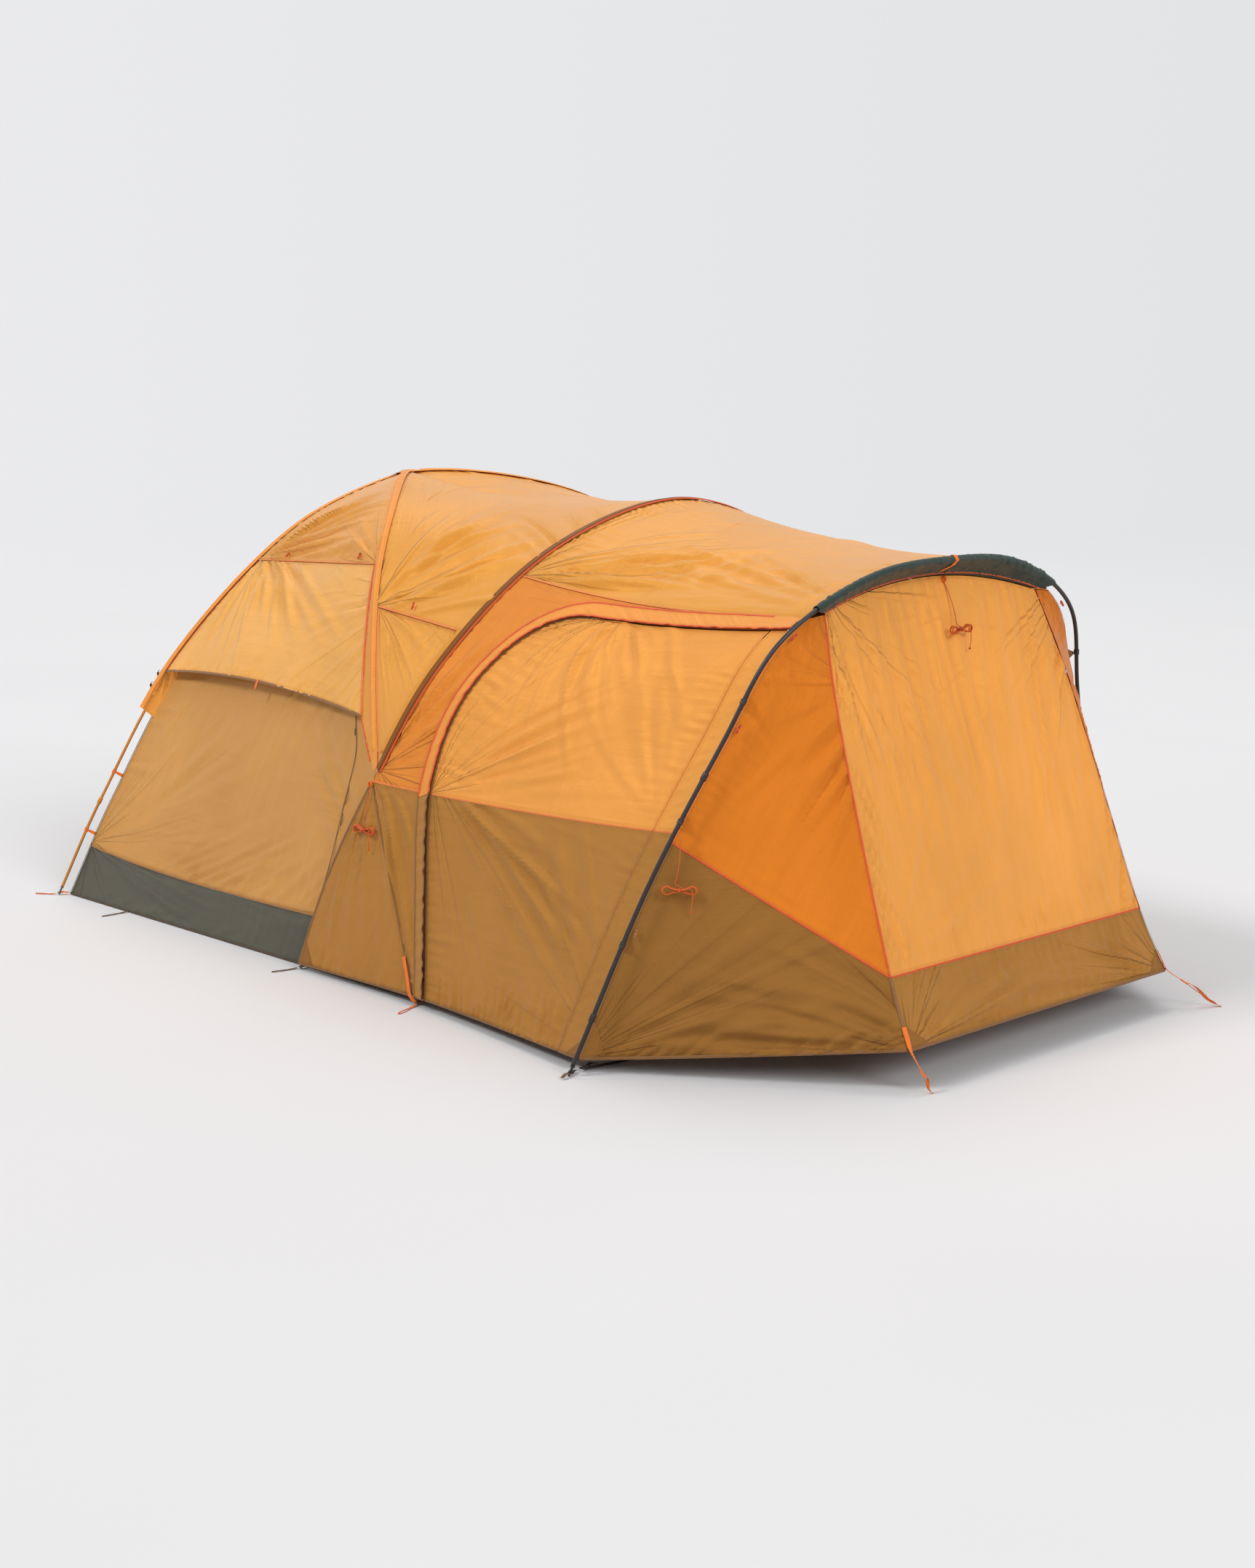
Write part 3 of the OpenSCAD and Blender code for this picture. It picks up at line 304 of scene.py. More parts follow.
# the backdrop pales from right to left, as one broad sweep
aim = wn.new("ShaderNodeTexCoord")
sweep = wn.new("ShaderNodeVectorMath")
sweep.operation = "DOT_PRODUCT"
sweep.inputs[1].default_value = (0.695, 0.719, 0.0)
fade = wn.new("ShaderNodeValToRGB")
fade.color_ramp.elements[0].position, fade.color_ramp.elements[0].color = 0.30, (0.838, 0.838, 0.855, 1)
fade.color_ramp.elements[1].position, fade.color_ramp.elements[1].color = 0.72, (0.745, 0.752, 0.760, 1)
half = wn.new("ShaderNodeMath")
half.operation = "MULTIPLY_ADD"
half.inputs[1].default_value = half.inputs[2].default_value = 0.5
wl.new(aim.outputs["Generated"], sweep.inputs[0])
wl.new(sweep.outputs["Value"], half.inputs[0])
wl.new(half.outputs[0], fade.inputs["Fac"])
wl.new(fade.outputs["Color"], backdrop.inputs["Color"])
wl.new(path.outputs["Is Camera Ray"], seen.inputs[0])
wl.new(path.outputs["Is Glossy Ray"], seen.inputs[1])
wl.new(seen.outputs[0], mix.inputs[0])
wl.new(ambient.outputs[0], mix.inputs[1])
wl.new(backdrop.outputs[0], mix.inputs[2])
wl.new(mix.outputs[0], out.inputs["Surface"])


def soft_sun(name, aim_from, power, spread):
    """A broad lamp far away, that lights the whole floor evenly."""
    data = bpy.data.lights.new(name, "SUN")
    data.energy = power
    data.angle = math.radians(spread)
    lamp = bpy.data.objects.new(name, data)
    bpy.context.scene.collection.objects.link(lamp)
    lamp.rotation_euler = Vector(aim_from).to_track_quat("Z", "Y").to_euler()


soft_sun("overhead", (-0.3, 0.35, 1.0), 0.75, 40)
soft_sun("key", (-0.45, -1.0, 1.05), 1.15, 16)
soft_sun("front", (1.0, -0.12, 0.62), 1.20, 26)


# ---- materials ----
def srgb(r, g, b):
    """A colour as read on screen, 0 to 255, in the linear values that shaders use."""
    c = np.array([r, g, b]) / 255
    return (*np.where(c <= 0.04045, c / 12.92, ((c + 0.055) / 1.055) ** 2.4), 1.0)


BLACK, WHITE = (0, 0, 0, 1), (1, 1, 1, 1)
SHEEN_ROUGH = 0.4


class Nodes:
    """A material's node tree, with short names for what the cloths repeat."""

    def __init__(self, name, rough, metal=0.0, sheen=0.0, shine=0.5):
        self.mat = bpy.data.materials.new(name)
        self.mat.use_nodes = True
        self.tree = self.mat.node_tree
        self.bsdf = self.tree.nodes["Principled BSDF"]
        for key, value in (("Roughness", rough), ("Metallic", metal), ("Sheen Weight", sheen),
                           ("Sheen Roughness", SHEEN_ROUGH), ("Specular IOR Level", shine)):
            self.bsdf.inputs[key].default_value = value

    def add(self, kind, **settings):
        node = self.tree.nodes.new("ShaderNode" + kind)
        for key, value in settings.items():
            if hasattr(node, key):
                setattr(node, key, value)
            else:
                node.inputs[key].default_value = value
        return node

    def link(self, a, b):
        self.tree.links.new(a, b)

    def put(self, x, socket):
        """Sets a socket to a number or a colour, or links it to another node's output."""
        if isinstance(x, (int, float, tuple)):
            socket.default_value = x
        else:
            self.link(x, socket)

    def coords(self):
        coord = self.add("TexCoord")
        return coord.outputs["UV"], coord.outputs["Object"]

    def noise(self, vector, scale, detail=3.0, rough=0.55):
        n = self.add("TexNoise", Scale=scale, Detail=detail, Roughness=rough)
        self.link(vector, n.inputs["Vector"])
        return n.outputs["Fac"]

    def bands(self, vector, direction, scale, distortion=0.0):
        n = self.add("TexWave", wave_type="BANDS", bands_direction=direction, Scale=scale,
                     Distortion=distortion)
        self.link(vector, n.inputs["Vector"])
        return n.outputs["Fac"]

    def scaled(self, vector, sx, sy):
        m = self.add("Mapping", Scale=(sx, sy, 1.0))
        self.link(vector, m.inputs["Vector"])
        return m.outputs["Vector"]

    def ramp(self, fac, stops):
        r = self.add("ValToRGB")
        el = r.color_ramp.elements
        el[0].position, el[0].color = stops[0]
        el[1].position, el[1].color = stops[-1]
        for pos, colour in stops[1:-1]:
            el.new(pos).color = colour
        self.link(fac, r.inputs["Fac"])
        return r.outputs["Color"]

    def math(self, op, *values):
        m = self.add("Math", operation=op)
        for i, x in enumerate(values):
            self.put(x, m.inputs[i])
        return m.outputs[0]

    def blend(self, fac, a, b, kind="MIX"):
        m = self.add("Mix", data_type="RGBA", blend_type=kind)
        self.put(fac, m.inputs["Factor"])
        for slot, x in ((6, a), (7, b)):
            self.put(x, m.inputs[slot])
        return m.outputs[2]

    def bump(self, height, strength, distance, before=None):
        b = self.add("Bump", Strength=strength, Distance=distance)
        self.link(height, b.inputs["Height"])
        if before is not None:
            self.link(before, b.inputs["Normal"])
        return b.outputs["Normal"]


def shade(rgb, k):
    return tuple(min(1.0, c * k) for c in rgb[:3]) + (1.0,)


def tones(rgb, low, high):
    """Two ramp stops, a darker and a lighter shade of one colour."""
    return [(low[0], shade(rgb, low[1])), (high[0], shade(rgb, high[1]))]


THREADS, MOTTLE = 625.0, 0.09                      # thread bands per metre, and the cloth's unevenness
STITCH_ROWS, STITCH_HALF = (0.007, 0.0115), 0.0008


def stitching(n, uv):
    """Two dashed rows of stitches beside a sheet's border."""
    edge = n.add("Attribute", attribute_name="edge").outputs["Fac"]
    rows = [n.math("LESS_THAN", n.math("ABSOLUTE", n.math("SUBTRACT", edge, d)), STITCH_HALF)
            for d in STITCH_ROWS]
    dash = n.math("GREATER_THAN", n.bands(uv, "DIAGONAL", 70.0), 0.35)
    return n.math("MULTIPLY", n.math("MAXIMUM", *rows), dash)


def crease_field(n):
    """Creases that run out from a sheet's two strongest pulls, from the attributes folds() left."""
    creases = None
    for key in ("pull_a", "pull_b"):
        fold = n.add("Attribute", attribute_name=key).outputs["Vector"]
        part = n.add("SeparateXYZ")
        n.link(fold, part.inputs[0])
        field = n.add("TexNoise", noise_dimensions="2D", Scale=1.0, Detail=1.6, Roughness=0.45)
        n.link(fold, field.inputs["Vector"])
        lone = n.add("MapRange", interpolation_type="SMOOTHERSTEP")
        for slot, value in zip(("From Min", "From Max"), (0.50, 0.74)):
            lone.inputs[slot].default_value = value
        n.link(field.outputs["Fac"], lone.inputs["Value"])
        crest = n.math("MULTIPLY", lone.outputs["Result"], part.outputs["Z"])
        creases = crest if creases is None else n.math("ADD", creases, crest)
    return creases


def cloth_material(name, rgb, rough, stitch, crinkle=0.5, upright=False):
    """Woven coated cloth: threads with painted shade in their gaps, soft crinkles, faint mottling,
    painted shade and highlight along its creases and streaks, and a stitched edge. upright keeps its
    streaks along the cloth's first way."""
    n = Nodes(name, rough, sheen=0.06, shine=0.45)
    uv, obj = n.coords()
    rgb = srgb(*rgb)
    large = n.noise(n.scaled(obj, 1.0, 1.0), 1.7, 4)
    fine = n.noise(obj, 260.0, 2)
    low, high = tones(rgb, (0.3, 1 - MOTTLE), (0.74, 1 + MOTTLE))
    colour = n.ramp(large, [low, (0.52, rgb), high])
    colour = n.blend(0.10, colour, n.ramp(fine, tones(rgb, (0.35, 0.8), (0.65, 1.2))))
    threads = n.math("MAXIMUM", n.bands(uv, "X", THREADS), n.bands(uv, "Y", THREADS))
    gaps = n.math("SUBTRACT", 1.0, threads)
    # painted shade: the gaps between the threads are darkened
    colour = n.blend(n.math("MULTIPLY", gaps, 0.10), colour, shade(rgb, 0.7))
    colour = n.blend(n.math("MULTIPLY", stitching(n, uv), 0.75), colour, srgb(*stitch))
    n.bsdf.inputs["Specular Tint"].default_value = shade(rgb, 1.5)
    n.link(n.math("ADD", n.math("MULTIPLY", large, 0.16), rough - 0.08), n.bsdf.inputs["Roughness"])
    soft, tight = n.noise(obj, 9.0, 5, 0.5), n.noise(obj, 48.0, 3, 0.5)
    streaks = n.noise(n.scaled(uv, 17.0, 1.5), 1.0, 4, 0.6)
    if not upright:                                # patches of streaks along and across the cloth
        across = n.noise(n.scaled(uv, 1.7, 19.0), 1.0, 4, 0.6)
        patchy = n.ramp(n.noise(obj, 1.9, 2), [(0.42, BLACK), (0.58, WHITE)])
        streaks = n.math("ADD", n.math("MULTIPLY", streaks, patchy),
                         n.math("MULTIPLY", across, n.math("SUBTRACT", 1.0, patchy)))
    creases = crease_field(n)
    # painted shade and highlight: the colour is darkened and lightened along the creases and streaks
    crease_shading = n.math("ADD", n.math("MULTIPLY", creases, 0.10), n.math("MULTIPLY", streaks, 0.5))
    crease_shading = n.ramp(crease_shading, [(0.14, (0.95, 0.95, 0.94, 1)), (0.40, (1.05, 1.05, 1.06, 1))])
    n.link(n.blend(1.0, colour, crease_shading, "MULTIPLY"), n.bsdf.inputs["Base Color"])
    normal = None
    for height, strength, distance in ((soft, 0.5 * crinkle, 0.012), (creases, 1.0, 0.011),
                                       (streaks, min(1.0, 1.4 * crinkle), 0.009),
                                       (tight, 0.30 * crinkle, 0.0016), (threads, 0.25, 0.00015)):
        normal = n.bump(height, strength, distance, normal)
    n.link(normal, n.bsdf.inputs["Normal"])
    return n.mat


def webbing_material(name, rgb, rib=0.0022):
    """Flat woven tape with ribs across its run, rib metres apart, painted darker between the ribs and lighter
    on them.
    """
    n = Nodes(name, 0.62, sheen=0.08)
    uv, obj = n.coords()
    rgb = srgb(*rgb)
    ribs, grain = n.bands(uv, "Y", 1 / rib / 3.2, 0.6), n.bands(uv, "X", 1 / rib / 2.0)
    # painted shade and highlight: darker in the grooves between ribs, lighter on their crests
    low, high = tones(rgb, (0.0, 0.72), (1.0, 1.12))
    colour = n.blend(0.25, n.ramp(ribs, [low, (0.6, rgb), high]),
                     n.ramp(n.noise(obj, 30.0, 3), tones(rgb, (0.3, 0.8), (0.7, 1.15))))
    n.link(colour, n.bsdf.inputs["Base Color"])
    height = n.math("ADD", ribs, n.math("MULTIPLY", grain, 0.5))
    n.link(n.bump(height, 0.6, 0.0004), n.bsdf.inputs["Normal"])
    return n.mat


def cord_material(name, rgb):
    """Braided cord, as slanting strands, painted darker between them and lighter on them."""
    n = Nodes(name, 0.6, sheen=0.08)
    strands = n.bands(n.coords()[1], "DIAGONAL", 420.0)
    # painted shade and highlight: darker in the grooves between strands, lighter on them
    n.link(n.ramp(strands, tones(srgb(*rgb), (0.2, 0.7), (0.7, 1.1))), n.bsdf.inputs["Base Color"])
    n.link(n.bump(strands, 0.5, 0.0005), n.bsdf.inputs["Normal"])
    return n.mat


def hard_material(name, rgb, rough, metal=0.0, wear=None, grain=220.0):
    """Anodised tube, painted tube or moulded plastic, with grain and a little wear."""
    n = Nodes(name, rough, metal=metal)
    obj = n.coords()[1]
    cloud, fine = n.noise(obj, 6.0, 4), n.noise(obj, grain, 4)
    colour = n.ramp(cloud, tones(srgb(*rgb), (0.3, 0.9), (0.7, 1.1)))
    if wear is not None:
        scuff = n.ramp(n.noise(obj, 24.0, 6, 0.7), [(0.66, BLACK), (0.74, WHITE)])
        colour = n.blend(n.math("MULTIPLY", scuff, 0.35), colour, srgb(*wear))
    n.link(colour, n.bsdf.inputs["Base Color"])
    n.link(n.math("ADD", n.math("MULTIPLY", fine, 0.2), rough - 0.1), n.bsdf.inputs["Roughness"])
    n.link(n.bump(fine, 0.3, 0.0002), n.bsdf.inputs["Normal"])
    return n.mat


def net_material(name, rgb):
    """Fine netting: small round holes on a hexagon-like grid."""
    n = Nodes(name, 0.7)
    uv = n.coords()[0]
    cell = n.add("TexVoronoi", Scale=420.0, Randomness=0.12)
    n.link(uv, cell.inputs["Vector"])
    solid = n.math("GREATER_THAN", cell.outputs["Distance"], 0.40)
    tint = n.ramp(n.noise(uv, 3.0), tones(srgb(*rgb), (0.3, 0.8), (0.7, 1.2)))
    n.link(tint, n.bsdf.inputs["Base Color"])
    n.link(n.math("ADD", n.math("MULTIPLY", solid, 0.5), 0.5), n.bsdf.inputs["Alpha"])
    n.link(n.bump(cell.outputs["Distance"], 0.4, 0.0004), n.bsdf.inputs["Normal"])
    return n.mat


# the key that pieces use, then the material's name, colour and what sets it apart
THREAD, TAN_THREAD, NARROW = (196, 104, 40), (140, 96, 48), 0.0016
LOOKS = {
    cloth_material: (                              # roughness, thread, crinkle, upright
        ("orange", "orange_cloth", (228, 157, 69), 0.38, THREAD),
        # painted light: a lighter copy of the fly cloth, for the lit porch doors and upper strips
        ("orange_deep", "orange_cloth_deep", (237, 160, 76), 0.42, THREAD),
        # painted shade: a darker copy of the fly cloth, for the fly beside the hoop's shadow
        ("orange_fly", "orange_cloth_fly", (226, 138, 56), 0.48, THREAD),
        ("orange_strip", "orange_strip", (238, 154, 72), 0.52, THREAD, 0.8),
        # painted shade: a darker, more saturated copy of the fly cloth, for the shaded porch sides
        ("orange_side", "orange_cloth_side", (219, 124, 40), 0.48, THREAD, 0.5, True),
        # painted light: a lighter copy of the fly cloth, for the lit porch front
        ("orange_front", "orange_cloth_front", (244, 165, 79), 0.40, THREAD, 0.5, True),
        # painted light: a lighter copy of the fly cloth, for the lit awnings
        ("orange_awning", "orange_cloth_awning", (240, 174, 88), 0.38, THREAD),
        ("tan", "tan_cloth", (176, 122, 57), 0.48, TAN_THREAD),
        ("tan_wall", "tan_cloth_wall", (204, 148, 80), 0.48, TAN_THREAD),
        # painted shade: a darker copy of the tan skirt cloth, for the shaded porch side skirts
        ("tan_low", "tan_cloth_low", (149, 103, 50), 0.48, TAN_THREAD),
        ("tan_dark", "tan_cloth_dark", (150, 102, 50), 0.52, (120, 80, 40)),
        # painted shade: the hoop's sleeve is coloured dark brown for the shade along the hoop
        ("brown", "brown_sleeve", (132, 78, 34), 0.52, (90, 60, 36), 0.9),
        ("grey", "grey_coated", (89, 86, 74), 0.44, (60, 62, 58), 0.32),
        ("inner", "inner_cloth", (206, 158, 104), 0.54, (150, 110, 70)),
        ("band", "band_cloth", (61, 72, 67), 0.52, (50, 48, 42), 0.9)),
    webbing_material: (                            # distance between ribs
        ("binding_tan", "tan_binding", (140, 96, 50), NARROW),
        ("binding_dark", "dark_binding", (84, 62, 40), NARROW),
        ("webbing", "orange_webbing", (244, 122, 26)),
        ("webbing_black", "black_webbing", (52, 46, 42)),
        ("webbing_brown", "brown_webbing", (112, 78, 42)),
        ("zip_coil", "zip_coil", (96, 68, 42), 0.0011),
        ("seam_red", "red_seam", (226, 88, 36), NARROW),
        ("seam_orange", "orange_seam", (236, 132, 58), NARROW),
        ("seam_cloth", "cloth_seam", (230, 144, 58), NARROW),
        ("seam_brown", "brown_seam", (118, 84, 48), NARROW),
        ("seam_tan_light", "tan_cloth_seam", (176, 122, 62), NARROW),
        ("seam_tan", "tan_seam", (176, 122, 62), NARROW)),
    cord_material: (
        ("cord", "orange_cord", (224, 98, 26)),
        ("cord_dark", "dark_cord", (110, 84, 60))),
    hard_material: (                               # roughness, metal, wear, grain
        ("gold", "anodised_gold", (206, 140, 66), 0.34, 0.75, (190, 160, 120)),
        ("black", "black_pole", (44, 38, 38), 0.36, 0.2, (90, 84, 80)),
        ("steel", "steel", (120, 114, 106), 0.42, 0.8),
        ("plastic", "black_plastic", (40, 36, 34), 0.45, 0.0, None, 500.0),
        ("plastic_orange", "orange_plastic", (226, 112, 36), 0.42, 0.0, None, 500.0),
        ("plastic_red", "red_plastic", (190, 52, 26), 0.4, 0.0, None, 500.0),
        ("plastic_tan", "tan_plastic", (150, 104, 56), 0.45, 0.0, None, 500.0)),
    net_material: (("net", "netting", (70, 62, 54)),),
}
M = {key: make(name, *look) for make, rows in LOOKS.items() for key, name, *look in rows}

# ---- floor ----
bpy.ops.mesh.primitive_plane_add(size=60, location=(0, 0, -0.0005))
floor = bpy.context.object
floor.name = "floor"
fn = Nodes("floor", 0.9, shine=0.1)
place = fn.coords()[1]
paper = fn.ramp(fn.noise(place, 0.35, 2), [(0.3, (0.745, 0.745, 0.760, 1)), (0.7, (0.765, 0.765, 0.780, 1))])
fn.link(paper, fn.bsdf.inputs["Base Color"])
reach = fn.add("VectorMath", operation="LENGTH")
fn.link(place, reach.inputs[0])
fade_out = fn.ramp(fn.math("MULTIPLY", reach.outputs["Value"], 0.04), [(0.26, WHITE), (0.85, BLACK)])
fn.link(fade_out, fn.bsdf.inputs["Alpha"])
floor.data.materials.append(fn.mat)


# ---- mesh helpers ----
def new_piece(name, verts, faces, mat, uv=None, edge=None):
    """verts in millimetres; uv in metres, one per vertex; edge is each vertex's distance to
    the piece's border, in metres."""
    mesh = bpy.data.meshes.new(name)
    mesh.from_pydata([tuple(p) for p in np.asarray(verts) * MM], [], [tuple(f) for f in faces])
    mesh.polygons.foreach_set("use_smooth", [True] * len(mesh.polygons))
    if uv is not None:
        layer = mesh.uv_layers.new(name="metres")
        loops = np.zeros(len(mesh.loops), int)
        mesh.loops.foreach_get("vertex_index", loops)
        layer.data.foreach_set("uv", np.asarray(uv, float)[loops].ravel())
    if edge is not None:
        mesh.attributes.new("edge", "FLOAT", "POINT").data.foreach_set(
            "value", np.asarray(edge, np.float32).ravel())
    mesh.materials.append(M[mat])
    mesh.update()
    obj = bpy.data.objects.new(name, mesh)
    bpy.context.scene.collection.objects.link(obj)
    return obj


def belong(obj, body, nodes=()):
    """Puts a piece on its body, and in the place of the frame's nodes that it stands for."""
    if body is not None:
        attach(obj, body)
    if nodes:
        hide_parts(*nodes)
    return obj


def grid_faces(a, b, flip=False):
    i, j = np.meshgrid(np.arange(a - 1), np.arange(b - 1), indexing="ij")
    q = np.stack([i * b + j, (i + 1) * b + j, (i + 1) * b + j + 1, i * b + j + 1], -1).reshape(-1, 4)
    return q[:, ::-1] if flip else q


def ring_faces(n, k, turned=False, closed=False):
    """Faces between n rings of k points, with a cap at each end unless they close on themselves."""
    i, j = np.meshgrid(np.arange(n if closed else n - 1), np.arange(k), indexing="ij")
    i1, j1 = (i + 1) % n, (j + 1) % k
    q = np.stack([i * k + j, i1 * k + j, i1 * k + j1, i * k + j1], -1).reshape(-1, 4)
    caps = [] if closed else [tuple(range(k)), tuple(range((n - 1) * k, n * k))[::-1]]
    if turned:
        q, caps = q[:, [0, 3, 2, 1]], [cap[::-1] for cap in caps]
    return [tuple(f) for f in q] + caps


def running(curve):
    """Running length at each point of a curve."""
    return np.concatenate([[0], np.cumsum(np.linalg.norm(np.diff(curve, axis=0), axis=1))])


def ring_uv(x, run):
    """uv of rings: x round each of them, and run along them."""
    return np.stack(np.broadcast_arrays(x[None, :], run[:, None]), -1).reshape(-1, 2)


def normals_of(g):
    return unit(np.cross(np.gradient(g, axis=0), np.gradient(g, axis=1)))


def metres_of(g):
    """Running lengths along both ways of a grid, in metres."""
    def run(axis):
        step = np.linalg.norm(np.diff(g, axis=axis), axis=2)
        pad = np.zeros_like(np.take(step, [0], axis=axis))
        return np.cumsum(np.concatenate([pad, step], axis=axis), axis=axis) * MM
    return run(0), run(1)


class Wrinkles:
    """Ridges laid on a panel in its own metres. Ends are given as shares of the panel."""

    def __init__(self, seed):
        self.rng = np.random.RandomState(seed)
        self.lines, self.pulls = [], []

    def line(self, a, b, w, h, bow=0.0, power=0.8):
        self.lines.append((a, b, w, h, bow, power))
        return self

    def fan(self, centre, towards, n, w, h, start=(0.02, 0.2), bow=0.03):
        """n ridges from near a centre towards points between the two given ones."""
        (u0, v0), (u1, v1) = towards
        self.pulls.append((h, centre))
        n = int(n * 1.7)
        for k in range(n):
            t = (k + 0.5 + self.rng.uniform(-0.4, 0.4)) / n
            end = np.array([lerp(u0, u1, t), lerp(v0, v1, t)])
            c = np.array(centre) + self.rng.uniform(-0.1, 0.1, 2) * 0.3
            r0, r1 = self.rng.uniform(*start), self.rng.uniform(0.55, 1.0)
            self.line(tuple(lerp(c, end, r0)), tuple(lerp(c, end, r1)),
                      w * self.rng.uniform(0.6, 1.5), h * self.rng.uniform(0.35, 1.1),
                      self.rng.uniform(-bow, bow))
        return self

    def comb(self, a, b, out, n, w, h, length=(0.03, 0.12)):
        """Short ridges that start on the line from a to b and run along out."""
        n = int(n * 1.3)
        for k in range(n):
            t = (k + 0.5 + self.rng.uniform(-0.45, 0.45)) / n
            p = lerp(np.array(a, float), np.array(b, float), t)
            d = np.array(out) * self.rng.uniform(*length) + self.rng.uniform(-0.012, 0.012, 2)
            self.line(tuple(p - d * 0.25), tuple(p + d), w * self.rng.uniform(0.6, 1.4),
                      h * self.rng.uniform(0.3, 1.1), 0.0, 0.6)
        return self

    def folds(self, s, t, wide, tall):
        """Fine creases that run out from the two strongest pulls: for each, the angle about it
        and the distance from it, stretched for a noise, and how strong the creases still are."""
        out = []
        fade_at = 0.42 * math.hypot(wide, tall)
        for k, (h, (u, v)) in enumerate(sorted(self.pulls, key=lambda pull: -pull[0])[:2]):
            x, y = s - u * wide, t - v * tall
            cx, cy = (0.5 - u) * wide, (0.5 - v) * tall + 1e-6
            r = np.hypot(x, y)
            angle = np.arctan2(cx * y - cy * x, cx * x + cy * y)
            out.append(np.stack([angle * 8.5 + 7 * k, r * 1.3, 0.16 * h * np.exp(-r / fade_at)], -1))
        return out

    def height(self, s, t, wide, tall):
        """Height in millimetres at running metres s, t of a panel wide by tall metres."""
        z = np.zeros_like(s)
        for (ua, va), (ub, vb), w, h, bow, power in self.lines:
            ax, ay, bx, by = ua * wide, va * tall, ub * wide, vb * tall
            dx, dy = bx - ax, by - ay
            length = math.hypot(dx, dy) + 1e-9
            dx, dy = dx / length, dy / length
            x = ((s - ax) * dx + (t - ay) * dy) / length
            d = -(s - ax) * dy + (t - ay) * dx - bow * length * 4 * x * (1 - x)
            inside = np.clip(x, 0, 1)
            wl = 0.8 * w * MM * (0.6 + 0.8 * inside)
            ridge = np.exp(-(d / wl) ** 2) - 0.45 * np.exp(-((np.abs(d) - 2.0 * wl) / (1.3 * wl)) ** 2)
            z += 2.1 * h * np.sin(np.pi * inside) ** power * ridge
        return z


def swell(s, t, seed, amp, size=0.9):
    """Slow uneven swell of slack cloth, in millimetres."""
    rng = np.random.RandomState(seed)
    z = np.zeros_like(s)
    for _ in range(9):
        a, f, p = rng.uniform(0, math.pi), rng.uniform(0.6, 1.8) / size, rng.uniform(0, 7)
        z += np.sin(2 * math.pi * f * (s * math.cos(a) + t * math.sin(a)) + p)
    return amp * z / 4.5


def smooth_step(x):
    x = np.clip(x, 0, 1)
    return x * x * (3 - 2 * x)


GRIDS = {}                                         # each sheet's points, as on the near side


def cloth(name, g, mat, body, nodes=(), wrinkles=None, swell_mm=1.5, seed=1, hold=0.018,
          side=1, loose=()):
    """A sheet on a grid of points in millimetres, whose du x dv looks outwards. side is -1 for
    the far side, where the grid is mirrored. loose names the edges that may wave."""
    g = np.asarray(g, float)
    s, t = metres_of(g)
    wide, tall = s[-1].max(), t[:, -1].max()
    gaps = {"u0": s, "u1": s[-1][None, :] - s, "v0": t, "v1": t[:, -1][:, None] - t}
    edge = np.minimum.reduce(list(gaps.values()))
    near = np.minimum.reduce([d for key, d in gaps.items() if key not in loose])
    z = swell(s, t, seed, swell_mm) * smooth_step(near / 0.12)
    if wrinkles is not None:
        z = z + wrinkles.height(s, t, wide, tall) * (0.1 + 0.9 * smooth_step(near / hold))
    GRIDS[name] = p = g + normals_of(g) * z[..., None]
    a, b = g.shape[:2]
    obj = new_piece(name, (p * (1, side, 1)).reshape(-1, 3), grid_faces(a, b, flip=side < 0), mat,
                    np.stack([s, t], -1).reshape(-1, 2), edge.reshape(-1))
    for key, fold in zip(("pull_a", "pull_b"), wrinkles.folds(s, t, wide, tall) if wrinkles else ()):
        layer = obj.data.attributes.new(key, "FLOAT_VECTOR", "POINT")
        layer.data.foreach_set("vector", fold.astype(np.float32).ravel())
    belong(obj, body, nodes)
    crossed = np.cross(g[1:, 1:] - g[:-1, :-1], g[:-1, 1:] - g[1:, :-1])
    flat_area = 0.5 * np.linalg.norm(crossed, axis=2).sum() * MM * MM
    if flat_area < 0.34 * wide * tall:      # a long taper: the cut's height is measured square to its base
        tall = 2 * flat_area / wide
    return obj


def shares(length_mm, step=14):
    return np.linspace(0, 1, max(3, int(round(length_mm / step)) + 1))


def tape(name, curve, out, w, mat, body, lift=1.0, thick=1.2, side=1):
    """A flat sewn tape with rounded edges along a curve, both in millimetres."""
    curve = np.asarray(curve, float)
    t = unit(np.gradient(curve, axis=0))
    across = unit(np.cross(t, np.broadcast_to(np.asarray(out, float), curve.shape)))
    up = np.cross(across, t)
    xs = np.array([-0.5, -0.44, -0.22, 0, 0.22, 0.44, 0.5, 0.44, 0, -0.44]) * w
    zs = np.array([0.35, 0.85, 1.0, 1.0, 1.0, 0.85, 0.35, 0, 0, 0]) * thick + lift
    g = curve[:, None] + across[:, None] * xs[None, :, None] + up[:, None] * zs[None, :, None]
    faces = ring_faces(len(g), len(xs))
    if side < 0:
        g = g * (1, -1, 1)
        faces = [f[::-1] for f in faces]
    uv = ring_uv(xs * MM, running(curve) * MM)
    return belong(new_piece(name, g.reshape(-1, 3), faces, mat, uv), body)


def merge(name, objs, body, nodes=()):
    """Joins small pieces of one body into one."""
    bpy.ops.object.select_all(action="DESELECT")
    for o in objs:
        o.parent = None
        o.select_set(True)
    bpy.context.view_layer.objects.active = objs[0]
    bpy.ops.object.join()
    obj = bpy.context.view_layer.objects.active
    obj.name = obj.data.name = name
    return belong(obj, body, nodes)


